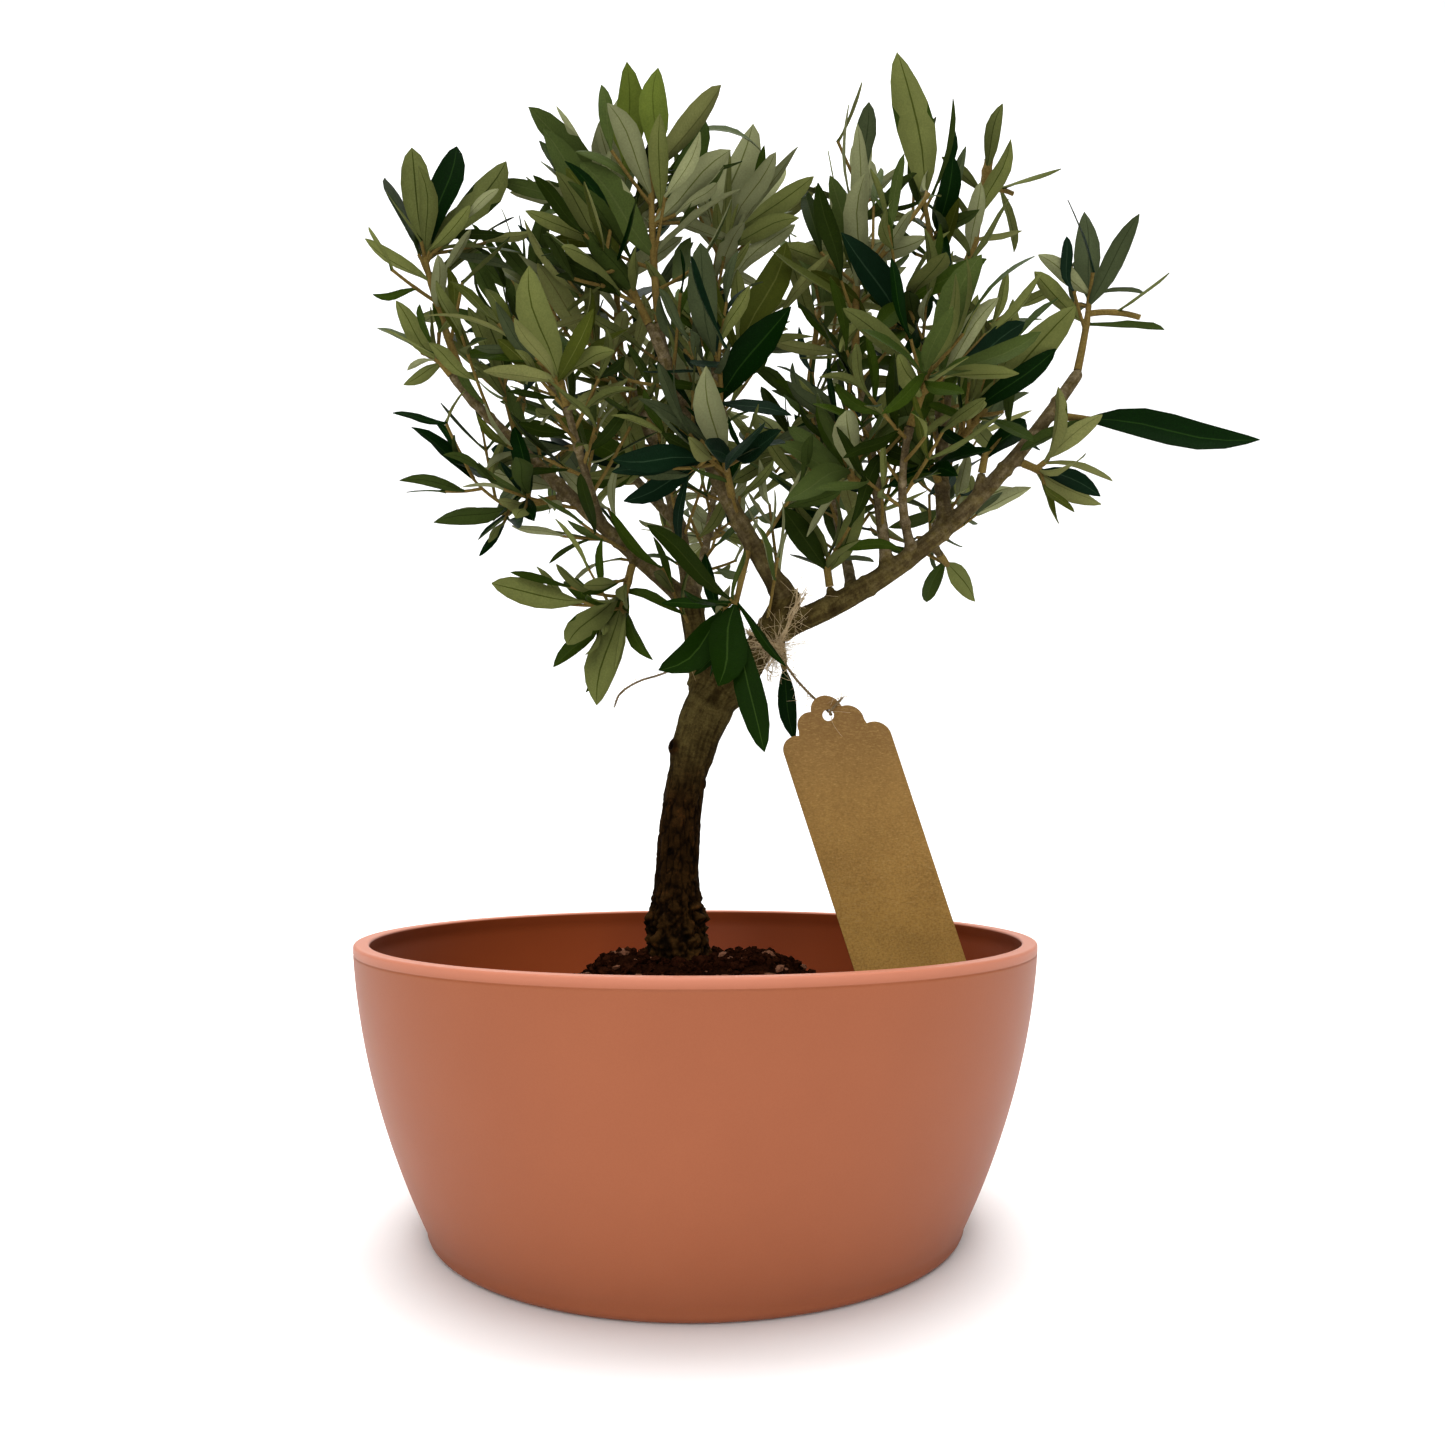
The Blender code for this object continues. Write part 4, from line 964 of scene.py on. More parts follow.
class Wiring:
    """Short calls that add nodes to one node tree and wire them."""

    def __init__(self, tree: bpy.types.NodeTree) -> None:
        """Keeps the tree."""
        self.tree = tree

    def add(self, kind: str, settings: Optional[dict[str, object]] = None, **inputs: object) -> bpy.types.Node:
        """Adds a node.

        Args:
            kind: the node's type without its ShaderNode prefix.
            settings: attributes of the node.
            inputs: by socket name with _ for a space, or i and a number; each a constant or a socket to wire in.

        Returns:
            The node.
        """
        node = self.tree.nodes.new("ShaderNode" + kind)
        for name, value in (settings or {}).items():
            setattr(node, name, value)
        for name, value in inputs.items():
            numbered = name[0] == "i" and name[1:].isdigit()
            socket = node.inputs[int(name[1:])] if numbered else node.inputs[name.replace("_", " ")]
            if isinstance(value, bpy.types.NodeSocket):
                self.tree.links.new(value, socket)
            elif socket.type == "RGBA":
                socket.default_value = (*value, 1.0)
            else:
                socket.default_value = value
        return node

    def math(self, operation: str, first: object, second: object = 0.0) -> bpy.types.NodeSocket:
        """One sum of two numbers or sockets."""
        return self.add("Math", {"operation": operation}, i0=first, i1=second).outputs[0]

    def blend(self, share: object, first: object, second: object) -> bpy.types.NodeSocket:
        """A colour between two, by a share."""
        return self.add("Mix", {"data_type": "RGBA"}, i0=share, i6=first, i7=second).outputs[2]

    def value(self, name: str) -> bpy.types.NodeSocket:
        """A number that the surface keeps by point."""
        return self.add("Attribute", {"attribute_name": name}).outputs["Fac"]

    def place(self) -> bpy.types.NodeSocket:
        """The place in the object's own coordinates."""
        return self.add("TexCoord").outputs["Object"]

    def band(self, value: object, low: float, high: float) -> bpy.types.NodeSocket:
        """The value stretched so that low gives 0 and high gives 1, and held between them."""
        return self.add("MapRange", {"clamp": True}, Value=value, From_Min=low, From_Max=high).outputs[0]


def mottle_group() -> bpy.types.NodeTree:
    """A node group, built once: two colours mixed in soft patches with fine flecks, and the flecks as a height.

    Patches are one noise on Object coordinates, and flecks a second, finer one.
    """
    if "mottle" in bpy.data.node_groups:
        return bpy.data.node_groups["mottle"]
    tree = bpy.data.node_groups.new("mottle", "ShaderNodeTree")
    for label, kind in (("Colour", "Color"), ("Second", "Color"), ("Patches", "Float"), ("Flecks", "Float"),
                        ("Patch Share", "Float"), ("Fleck Share", "Float")):
        tree.interface.new_socket(label, in_out="INPUT", socket_type="NodeSocket" + kind)
    for label, kind in (("Colour", "Color"), ("Height", "Float")):
        tree.interface.new_socket(label, in_out="OUTPUT", socket_type="NodeSocket" + kind)
    given, wiring = tree.nodes.new("NodeGroupInput").outputs, Wiring(tree)
    place = wiring.place()
    patches = wiring.add("TexNoise", Vector=place, Scale=given["Patches"], Detail=3.0, Roughness=0.55)
    fine = wiring.add("TexNoise", Vector=place, Scale=given["Flecks"], Detail=2.0, Roughness=0.6)
    patch = wiring.math("MULTIPLY", wiring.band(patches.outputs[0], 0.3, 0.7), given["Patch Share"])
    fleck = wiring.math("MULTIPLY", wiring.band(fine.outputs[0], 0.35, 0.7), given["Fleck Share"])
    colour = wiring.blend(wiring.math("ADD", patch, fleck), given["Colour"], given["Second"])
    end = tree.nodes.new("NodeGroupOutput")
    tree.links.new(colour, end.inputs["Colour"])
    tree.links.new(fine.outputs[0], end.inputs["Height"])
    return tree


@dataclass(frozen=True)
class Finish:
    """A mottled surface: two colours in patches and flecks, a gloss and a fine relief.

    Attributes:
        name: the material's name.
        colour, second: linear colours.
        roughness: from 0, mirror, to 1, chalk.
        patches, flecks: how many lumps of each to a metre.
        patch_share, fleck_share: how strongly each mixes the second colour in.
        relief: depth of the fine relief in mm.
        specular: strength of the gloss.
    """

    name: str
    colour: Colour
    second: Colour
    roughness: float
    patches: float = 30.0
    flecks: float = 600.0
    patch_share: float = 0.5
    fleck_share: float = 0.4
    relief: float = 0.1
    specular: float = 0.35

    def material(self) -> bpy.types.Material:
        """The material, made on first use."""
        if self.name in bpy.data.materials:
            return bpy.data.materials[self.name]
        material = bpy.data.materials.new(self.name)
        material.use_nodes = True
        wiring = Wiring(material.node_tree)
        shader = material.node_tree.nodes["Principled BSDF"]
        colour, height = self.surface(wiring)
        bump = wiring.add("Bump", Height=height, Distance=self.relief * MM, Strength=1.0)
        material.node_tree.links.new(colour, shader.inputs["Base Color"])
        material.node_tree.links.new(bump.outputs[0], shader.inputs["Normal"])
        shader.inputs["Roughness"].default_value = self.roughness
        shader.inputs["Specular IOR Level"].default_value = self.specular
        return material

    def surface(self, wiring: Wiring) -> tuple[bpy.types.NodeSocket, bpy.types.NodeSocket]:
        """The colour and the height that change over the surface: here the mottle."""
        mottle = self.mottle(wiring, self.colour, self.second)
        return mottle.outputs["Colour"], mottle.outputs["Height"]

    def mottle(self, wiring: Wiring, colour: object, second: object) -> bpy.types.Node:
        """The mottle group placed with this finish's values."""
        return wiring.add("Group", {"node_tree": mottle_group()}, Colour=colour, Second=second, Patches=self.patches,
                          Flecks=self.flecks, Patch_Share=self.patch_share, Fleck_Share=self.fleck_share)


# Leaves and twigs


class Tint(IntEnum):
    """The sets of leaf colours that are dealt out by spray."""

    OLIVE = 0
    SAGE = 1
    DEEP = 2
    YOUNG = 3
    BLUE = 4
    WARM = 5
    MOSS = 6
    FRESH = 7


@dataclass(frozen=True)
class LeafFinish(Finish):
    """A mottled leaf side that goes towards its second colour by the surface's own value shade: each leaf's random
    tone, and painted shade at its root and margin.
    """

    def surface(self, wiring: Wiring) -> tuple[bpy.types.NodeSocket, bpy.types.NodeSocket]:
        """The mottle, whose first colour is blended to the second by shade."""
        shade = wiring.value("shade")
        mottle = self.mottle(wiring, wiring.blend(shade, self.colour, self.second), self.second)
        return mottle.outputs["Colour"], mottle.outputs["Height"]


@dataclass(frozen=True)
class LeafColours:
    """The plain colours of one tint, as display values: the upper side, the underside and the rib on each."""

    upper: tuple[int, int, int]
    under: tuple[int, int, int]
    rib: tuple[int, int, int]
    under_rib: tuple[int, int, int]

    def materials(self, tint: Tint) -> list[bpy.types.Material]:
        """The four finishes of a leaf, in the order of its finish numbers.

        Args:
            tint: the tint that they belong to.

        Returns:
            Upper side, underside, upper rib and lower rib.
        """
        made = []
        looks = (("upper", self.upper, 0.5, 0.025), ("under", self.under, 0.8, 0.03),
                 ("rib", self.rib, 0.6, 0.04), ("under_rib", self.under_rib, 0.8, 0.03))
        for side, shade, roughness, gloss in looks:
            colour = linear(*shade)
            # The second colour serves both the mottle and the painted shade.
            second = tuple(value * 0.55 for value in colour)
            finish = LeafFinish(f"leaf_{tint.name.lower()}_{side}", colour, second, roughness,
                                patches=60.0, flecks=1500.0, patch_share=0.5, fleck_share=0.45,
                                relief=0.14, specular=gloss)
            made.append(finish.material())
        return made


LEAF_COLOURS = {
    Tint.OLIVE: LeafColours((52, 67, 20), (110, 115, 64), (60, 74, 26), (70, 76, 32)),
    Tint.SAGE: LeafColours((72, 84, 42), (140, 143, 102), (80, 90, 48), (96, 100, 58)),
    Tint.DEEP: LeafColours((14, 36, 6), (58, 70, 32), (32, 56, 18), (44, 54, 22)),
    Tint.YOUNG: LeafColours((92, 104, 40), (96, 108, 44), (108, 118, 54), (78, 88, 34)),
    Tint.BLUE: LeafColours((21, 39, 25), (72, 80, 54), (42, 60, 42), (56, 64, 42)),
    Tint.WARM: LeafColours((68, 74, 26), (122, 124, 74), (88, 92, 42), (100, 100, 58)),
    Tint.MOSS: LeafColours((36, 47, 13), (92, 97, 54), (46, 56, 20), (54, 60, 26)),
    Tint.FRESH: LeafColours((27, 47, 9), (66, 78, 36), (50, 72, 27), (52, 64, 28)),
}

TINT_OF_SPRAY = {
    "upper_left_crest": {0: Tint.YOUNG}, "mid_crest": {0: Tint.YOUNG},
    "front_hanging_spray": {-1: Tint.FRESH, 3: Tint.MOSS},
    "limb_hanging_spray": {-1: Tint.DEEP}, "far_right_flag": {-1: Tint.DEEP}, "right_low_spray": {0: Tint.BLUE},
    "right_front_spray": {0: Tint.BLUE, 1: Tint.BLUE}, "mid_front_spray": {0: Tint.DEEP},
    "top_leaf_spray": {0: Tint.OLIVE},
    "far_left_crest": {1: Tint.DEEP}, "left_hanging_spray": {-1: Tint.OLIVE}, "mid_right_spray": {1: Tint.WARM},
}
BARE_OF_FINE_TWIGS = ("front_hanging_spray", "limb_hanging_spray", "far_right_flag", "right_bough")
LEAF_SHAPES = {  # bend, sweep and breadth of a tip's leaf
    "front_hanging_spray": {0: (0.0, 0.0, 1.4), 1: (0.02, 0.03, 0.8),
                            2: (0.0, -0.12, 1.2), 3: (0.0, 0.0, 0.75), -1: (0.05, -0.04, 0.52)},
    "far_right_flag": {0: (0.02, 0.02, 0.85)},
}
USUAL_TINTS = (Tint.OLIVE, Tint.OLIVE, Tint.OLIVE, Tint.SAGE, Tint.MOSS, Tint.MOSS, Tint.DEEP, Tint.BLUE, Tint.WARM)
FINE_SEEDS = {  # by spray and bough
    "far_left_crest": 67, "far_left_spray": 16, "far_left_low_spray": 73, "left_hanging_spray": 29,
    "front_left_spray": 91, "upper_left_crest": 3, "inner_left_spray": 114, "rear_left_crest": 22,
    "rear_left_spray": 34, "back_crest": 16, "back_low_spray": 96, "mid_crest": 63, "mid_left_spray": 81,
    "mid_front_spray": 26, "centre_spray": 67, "mid_right_crest": 41, "mid_right_spray": 49,
    "inner_right_crest": 14, "inner_right_spray": 68, "top_leaf_spray": 22, "right_front_spray": 10,
    "right_side_spray": 91, "far_right_crest": 127, "right_low_spray": 55, "under_right_spray": 113,
    "front_right_spray": 22, "rear_right_crest": 115, "rear_right_spray": 103, "back_right_crest": 129,
    "back_right_spray": 8, "lower_left_spray": 73, "left_inner_spray": 13, "centre_right_spray": 48,
    "low_centre_spray": 6, "right_inner_spray": 62, "right_middle_spray": 41, "left_limb": 111, "right_limb": 117,
    "far_left_bough": 81, "left_upright": 103, "rear_left_bough": 77, "back_bough": 7, "mid_bough": 41,
    "mid_upright": 129, "inner_right_upright": 57, "right_upright": 39, "rear_right_bough": 122,
    "back_right_bough": 46, "front_left_bough": 6, "front_right_bough": 118,
}


@dataclass
class Blade:
    """The outline and thickness of a leaf, as rows along it and a ring of points across it.

    Attributes:
        rows: shares of the length.
        ring: shares of the half width from edge to edge over the upper side and back under.
        finishes: by step round the ring: 0 upper side, 1 underside, 2 rib, 3 rib underneath.
        width_share: width over length.
        thickness: between the upper side and the underside.
        stalk: half width of the stalk at the leaf's root.
    """

    rows: tuple[float, ...] = (0.0, 0.07, 0.18, 0.33, 0.5, 0.67, 0.82, 0.93, 1.0)
    ring: tuple[float, ...] = (-1.0, -0.52, -0.05, 0.05, 0.52, 1.0, 0.52, 0.05, -0.05, -0.52)
    finishes: tuple[int, ...] = (0, 0, 2, 0, 0, 1, 1, 3, 1, 1)
    width_share: float = 0.27
    thickness: float = 0.36 * MM
    stalk: float = 0.55 * MM

    def surface(self, leaves: Sequence[Leaf], tints: Sequence[Tint], seed: int) -> Surface:
        """All leaves as one surface.

        Along a leaf at share s, half the width goes as s^b * (1 - s)^a: a below 1 rounds the tip, b near 1 tapers the
        base. The middle line is lifted by 4 * bend * s * (1 - s), and swings aside by sway * sin(2 pi s) and
        4 * sweep * s * (1 - s). Both edges rise by cup * |c|^1.6 at share c of the half width, and wave by
        sin(k pi s + phase). The ring turns about the way by twist * (s - 0.3). The value shade darkens each leaf by a
        random share of its own, its tone, and more at its root and margin as painted shade.

        Args:
            leaves: where they are.
            tints: each leaf's tint.
            seed: picks their shapes.

        Returns:
            The surface, with four finishes for each tint.
        """
        rng = np.random.default_rng(seed)
        count = len(leaves)
        root, way, upper = (np.array([getattr(leaf, key) for leaf in leaves]) for key in ("root", "way", "upper"))
        length = np.array([leaf.length for leaf in leaves])
        aside = np.cross(way, upper)

        def pick(low: float, high: float) -> Array:
            """One number for each leaf, shaped to spread over rows and ring."""
            return rng.uniform(low, high, count)[:, None, None]

        s = np.array(self.rows)[None, :, None]
        c = np.array(self.ring)[None, None, :]
        scale = length[:, None, None]
        breadth = np.array([leaf.breadth for leaf in leaves])[:, None, None]
        wide = scale * self.width_share / 2 * pick(0.88, 1.1) * breadth
        tip, base = pick(0.6, 0.9), pick(0.8, 1.1)
        widest = base / (tip + base)
        half = wide * (s / widest) ** base * ((1.0 - s) / (1.0 - widest)) ** tip
        half = np.maximum(half, np.where(s < 0.1, self.stalk, 0.18 * MM))
        near_root = eased(0.02, 0.14, s)
        bend = np.array([leaf.bend for leaf in leaves])[:, None, None]
        lift = 4 * bend * scale * s * (1 - s)
        sweep = np.array([leaf.sweep for leaf in leaves])[:, None, None]
        swing = scale * (pick(-0.03, 0.03) * np.sin(2 * np.pi * s) + 4 * sweep * s * (1 - s))
        cup = pick(0.02, 0.42) * half * np.abs(c) ** 1.6 * near_root
        wave = pick(0.0, 0.09) * half * np.sin(pick(3.0, 6.0) * np.pi * s + pick(0.0, 6.0)) * c * near_root
        is_under = np.arange(len(self.ring)) >= 6
        inner = np.abs(c) < 0.99
        stalk_depth = self.stalk * (1 - near_root)
        depth = (self.thickness / 2 + stalk_depth) * np.where(inner, 1.0, 0.0) * np.where(is_under, -1.0, 1.0)
        in_rib = np.abs(c) < 0.1
        rib = np.where(in_rib, np.where(is_under, -0.34, -0.16), 0.0) * MM * near_root * (1.05 - s)
        across_part, height = half * c, cup + wave + depth + rib
        turn = pick(-0.7, 0.7) * (s - 0.3)
        x = across_part * np.cos(turn) - height * np.sin(turn) + swing
        z = across_part * np.sin(turn) + height * np.cos(turn) + lift
        places = (root[:, None, None] + way[:, None, None] * (scale * s)[..., None]
                  + aside[:, None, None] * x[..., None] + upper[:, None, None] * z[..., None])
        pattern = Surface.grid(np.zeros((len(self.rows), len(self.ring), 3)), np.array(self.finishes))
        surface = Surface.many(places.reshape(count, -1, 3), pattern, np.array([4 * int(tint) for tint in tints]))
        # Each leaf's random tone, plus painted shade towards its root and at its margin.
        shade = pick(0.0, 0.5) + 0.42 * (1.0 - eased(0.0, 0.3, s)) + 0.3 * (np.abs(c) > 0.99)
        surface.values = {"shade": np.broadcast_to(np.minimum(shade, 1.0), places.shape[:3]).reshape(-1)}
        return surface


class Crowd:
    """What already stands in the crown, to test whether a new leaf or twig would run into it."""

    def __init__(self) -> None:
        """Starts empty."""
        self.trees: list[BVHTree] = []
        self.lows: list[Array] = []
        self.highs: list[Array] = []

    def add(self, points: Array, faces: Sequence[Sequence[int]]) -> None:
        """Adds a form."""
        self.trees.append(BVHTree.FromPolygons(points.tolist(), faces))
        self.lows.append(points.min(0))
        self.highs.append(points.max(0))

    def touched(self, points: Array, faces: Sequence[Sequence[int]]) -> bool:
        """Whether a form would cut any form in the crowd.

        Args:
            points: its corners.
            faces: its faces.

        Returns:
            True at the first cut.
        """
        near = np.all((np.array(self.lows) <= points.max(0)) & (np.array(self.highs) >= points.min(0)), axis=1)
        tree = BVHTree.FromPolygons(points.tolist(), faces)
        return any(tree.overlap(self.trees[index]) for index in np.flatnonzero(near))


CUT_GIRTH = 1.35
BOUGH_TWIG_SPREAD = (30.0, 70.0)  # degrees from a bough
FINE_TWIG_SPREAD = (35.0, 65.0)  # and from a twig
FINE_TURN_STRAY = 0.4
FINE_LIFT = 0.12  # how far a finer twig bends up, over its length
FINE_LEAF_SPREAD = (32.0, 62.0)  # degrees from the finer twig at its foot
FINE_LEAF_SPREAD_FALL = 14.0  # how much less at its end
LEAST_BEARER = 6 * MM  # the shortest twig that bears finer ones
USUAL_SHARE = 0.7  # of a spray's leaves that have its usual tint
FINE_USUAL_SHARE = 0.6  # and of its finer ones
SEED_FACTOR = 1009
FLAKE_FACES = ((0, 1, 2), (0, 2, 3), (0, 3, 4), (0, 4, 5))
FLAKE_CORNERS = ((0.14, 0), (0.35, 1), (0.7, 0.9), (1.0, 0), (0.7, -0.9), (0.35, -1))  # shares along and aside
FLAKE_WIDTH = 0.12
TWIG_MATCH = 1.3 * MM  # how near a solid's corner is to a twig's end that it has
LEAF_MATCH = 0.3 * MM  # and to a leaf's point


def flake(leaf: Leaf) -> Array:
    """Six corners of a leaf's flat outline past its neck.

    Args:
        leaf: the leaf.

    Returns:
        The corners, (6, 3).
    """
    aside = leaf.way.cross(leaf.upper) * leaf.length * FLAKE_WIDTH
    middle = leaf.upper * leaf.length * leaf.bend * 3.2
    return np.array([leaf.root + leaf.way * leaf.length * s + aside * c + middle * (s * (1 - s))
                     for s, c in FLAKE_CORNERS])


@dataclass
class Foliage:
    """The sprays: the twigs and leaves that the solids have, and finer twigs that carry them on within the same reach.

    Attributes:
        plan: where everything starts.
        nodes: the frame's solids by name.
        fine_radius: radius at the foot of a finer twig.
        fine_length: shortest and longest finer twig.
        fine_leaf: length of a finer twig's leaves over the spray's usual one.
        fine_share: how many finer twigs to each leaf pair of the spray's own twigs.
        bough_spacing: room for each finer twig along a bough.
        bough_leaf: usual length in mm of a leaf on those.
        seed: picks the shapes.
    """

    plan: Plan
    nodes: dict[str, bpy.types.Object]
    fine_radius: float = 0.75 * MM
    fine_length: tuple[float, float] = (12.0 * MM, 32.0 * MM)
    fine_leaf: tuple[float, float] = (0.56, 0.98)
    fine_share: float = 1.7
    bough_spacing: float = 6.0 * MM
    bough_leaf: float = 30.0
    seed: int = 7
    twigs: list[Shoot] = field(default_factory=list)
    leaves: list[Leaf] = field(default_factory=list)
    tints: list[Tint] = field(default_factory=list)
    crowd: Crowd = field(default_factory=Crowd)

    def __post_init__(self) -> None:
        """Notes the box of all the solids, a little inside which every new leaf keeps."""
        low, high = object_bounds()
        self.low, self.high = np.array(low) + MM, np.array(high) - MM

    def fill_crowd(self) -> None:
        """Puts the solid limbs, tag and twine into the crowd, so that no new leaf runs into them."""
        for name in [*self.plan.limbs, "gift_tag", "tag_twine"]:
            mesh = self.nodes[name].data
            self.crowd.add(read_vectors(mesh.vertices, "co"), [tuple(face.vertices) for face in mesh.polygons])

    def solid_corners(self, name: str) -> KDTree:
        """The corners of a mass's solid, ready for finding the nearest.

        Args:
            name: the mass.

        Returns:
            The search tree.
        """
        mesh = self.nodes[name].data
        tree = KDTree(len(mesh.vertices))
        for vertex in mesh.vertices:
            tree.insert(vertex.co, vertex.index)
        tree.balance()
        return tree

    def grow(self, mass: Mass) -> tuple[int, int]:
        """Grows one mass: the solid's own twigs and leaves, then the finer ones.

        Args:
            mass: the mass of foliage.

        Returns:
            How many leaves the solid has, and how many were added.
        """
        corners = self.solid_corners(mass.name)
        rng = random.Random(mass.seed * 31 + len(mass.name))
        usual = rng.choice(USUAL_TINTS)
        given = TINT_OF_SPRAY.get(mass.name, {})
        own: list[Shoot] = []
        for index, shoot in enumerate(Growth(mass, self.plan.headings[mass.name]).shoots()):
            if index and corners.find(shoot.tip)[2] > TWIG_MATCH:
                continue
            own.append(shoot)
            kept = []
            for leaf in shoot.leaves:
                while leaf.length > LEAST_LEAF and not mass.holds(leaf.tip()):
                    leaf.length *= 0.9
                if corners.find(leaf.tip())[2] < LEAF_MATCH:
                    if leaf.tip_index < 0:
                        leaf.rerooted(shoot.point(leaf.station) - leaf.way * 0.4 * MM)
                    kept.append(leaf)
            shoot.leaves = kept
        own_leaves = [leaf for shoot in own for leaf in shoot.leaves]
        for leaf in own_leaves:
            leaf.bend = rng.uniform(-0.06, 0.1) if leaf.tip_index < 0 else rng.uniform(-0.03, 0.05)
            leaf.sweep = rng.uniform(-0.05, 0.05)
            leaf.breadth = rng.uniform(0.8, 1.0) if leaf.tip_index < 0 else 1.05
            shape = LEAF_SHAPES.get(mass.name, {}).get(leaf.tip_index)
            if shape:
                leaf.bend, leaf.sweep, leaf.breadth = shape
            other = usual if rng.random() < USUAL_SHARE else rng.choice(USUAL_TINTS)
            self.keep(leaf, given.get(leaf.tip_index, given.get(-1, other)))
        self.twigs += own
        fine = self.finer(mass, own, random.Random(FINE_SEEDS.get(mass.name, 0) * SEED_FACTOR + mass.seed))
        return len(own_leaves), self.take(fine, usual, rng, given.get(-1))

    def take(self, twigs: list[Shoot], usual: Tint, rng: random.Random, given: Optional[Tint] = None) -> int:
        """Adds finer twigs with their leaves, deals out the leaves' tints, and counts the leaves.

        Args:
            twigs: the finer twigs.
            usual: the tint of most of their leaves.
            rng: picks the others.
            given: the tint of them all, if any.

        Returns:
            How many leaves they have.
        """
        for twig in twigs:
            for leaf in twig.leaves:
                leaf.fine = True
                other = usual if rng.random() < FINE_USUAL_SHARE else rng.choice(USUAL_TINTS)
                self.tints.append(other if given is None else given)
                self.leaves.append(leaf)
        self.twigs += twigs
        return sum(len(twig.leaves) for twig in twigs)

    def grow_from(self, limb: Limb) -> int:
        """Grows finer twigs straight from a bough, a golden angle apart, where they end in the space of a mass.

        Args:
            limb: the bough.

        Returns:
            How many leaves were added.
        """
        rng = random.Random(FINE_SEEDS.get(limb.name, 0) * SEED_FACTOR + len(limb.name))
        wanted = round((Vector(limb.tip) * MM - limb.foot).length / self.bough_spacing)
        turn = rng.uniform(0.0, 2 * math.pi)
        made = []
        for index in range(wanted):
            turn += GOLDEN_ANGLE + rng.uniform(-FINE_TURN_STRAY, FINE_TURN_STRAY)
            share = 0.15 + 0.85 * (index + rng.uniform(0.1, 0.9)) / wanted
            axis, thick = limb.heading(share), limb.radius(share)
            spread = math.radians(rng.uniform(*BOUGH_TWIG_SPREAD))
            way = slanted(axis, turn, spread)
            length = rng.uniform(*self.fine_length) + thick
            foot = limb.point(share)
            twig = Shoot(foot, foot + way * length * 0.5, foot + way * length + UP * length * FINE_LIFT,
                         self.fine_radius)
            homes = [mass for mass in self.plan.masses if mass.holds(twig.tip)]
            if homes and limb.name not in BARE_OF_FINE_TWIGS:
                self.leaf_out(twig, homes[0], self.bough_leaf, (thick + 2 * MM) / length, rng)
                if twig.leaves:
                    made.append(twig)
        return self.take(made, rng.choice(USUAL_TINTS), rng)

    def keep(self, leaf: Leaf, tint: Tint) -> None:
        """Adds a leaf to the crown and to the crowd."""
        self.leaves.append(leaf)
        self.tints.append(tint)
        self.crowd.add(flake(leaf), FLAKE_FACES)

    def finer(self, mass: Mass, own: Sequence[Shoot], rng: random.Random) -> list[Shoot]:
        """Finer twigs from the nodes of a mass's own twigs, each with a few smaller leaves, where there is room.

        Args:
            mass: whose space they keep to.
            own: its own twigs.
            rng: its random draws.

        Returns:
            The twigs with at least one leaf.
        """
        made = []
        for shoot in own:
            if shoot.length() < LEAST_BEARER or shoot.cut:
                continue
            wanted = max(1, round(shoot.length() / NODE_SPACING * self.fine_share))
            turn = rng.uniform(0.0, 2 * math.pi)
            for index in range(wanted):
                turn += GOLDEN_ANGLE + rng.uniform(-FINE_TURN_STRAY, FINE_TURN_STRAY)
                share = 0.12 + 0.86 * (index + rng.uniform(0.1, 0.9)) / wanted
                axis = shoot.heading(share)
                spread = math.radians(rng.uniform(*FINE_TWIG_SPREAD))
                way = slanted(axis, turn, spread)
                length = rng.uniform(*self.fine_length)
                foot = shoot.point(share)
                thick = min(self.fine_radius, shoot.radius(share) * CHILD_TWIG_SHARE)
                twig = Shoot(foot, foot + way * length * 0.5, foot + way * length + UP * length * FINE_LIFT, thick)
                if mass.name in BARE_OF_FINE_TWIGS or not mass.holds(twig.tip):
                    continue
                self.leaf_out(twig, mass, mass.leaf, 0.2, rng)
                if twig.leaves:
                    made.append(twig)
        return made

    def leaf_out(self, twig: Shoot, mass: Mass, usual: float, bare: float, rng: random.Random) -> None:
        """Gives a finer twig its leaves: pairs up its length and one at its end, each only where it has room.

        Args:
            twig: the finer twig.
            mass: whose space they keep to.
            usual: a leaf's usual length in mm.
            bare: share of the twig without leaves.
            rng: its random draws.
        """
        turn = rng.uniform(0.0, math.pi)
        size = usual * MM * rng.uniform(*self.fine_leaf)
        places = [(t, half) for t in twig.nodes(min(bare, 0.8)) for half in range(2)] + [(1.0, 0)]
        for t, half in places:
            if not half:
                turn += math.pi / 2 + rng.uniform(-PAIR_TURN_STRAY, PAIR_TURN_STRAY)
            spread = 0.1 if t == 1.0 else math.radians(rng.uniform(*FINE_LEAF_SPREAD) - FINE_LEAF_SPREAD_FALL * t)
            length = size * rng.uniform(*LEAF_SIZES)
            leaf = Growth.leaf_at(twig.point(t), twig.heading(t), turn + half * math.pi, spread, rng.uniform(-0.1, 0.3),
                                  rng.uniform(-1.2, 1.2), length)
            leaf.root = twig.point(t) - leaf.way * 0.3 * MM
            leaf.bend, leaf.sweep = rng.uniform(-0.08, 0.12), rng.uniform(-0.08, 0.08)
            leaf.breadth = rng.uniform(0.6, 0.88)
            form = flake(leaf)
            boxed = np.all(form > self.low) and np.all(form < self.high)
            if boxed and mass.holds(leaf.tip()) and not self.crowd.touched(form, FLAKE_FACES):
                self.crowd.add(form, FLAKE_FACES)
                twig.leaves.append(leaf)
                twig.reach = leaf.station = t

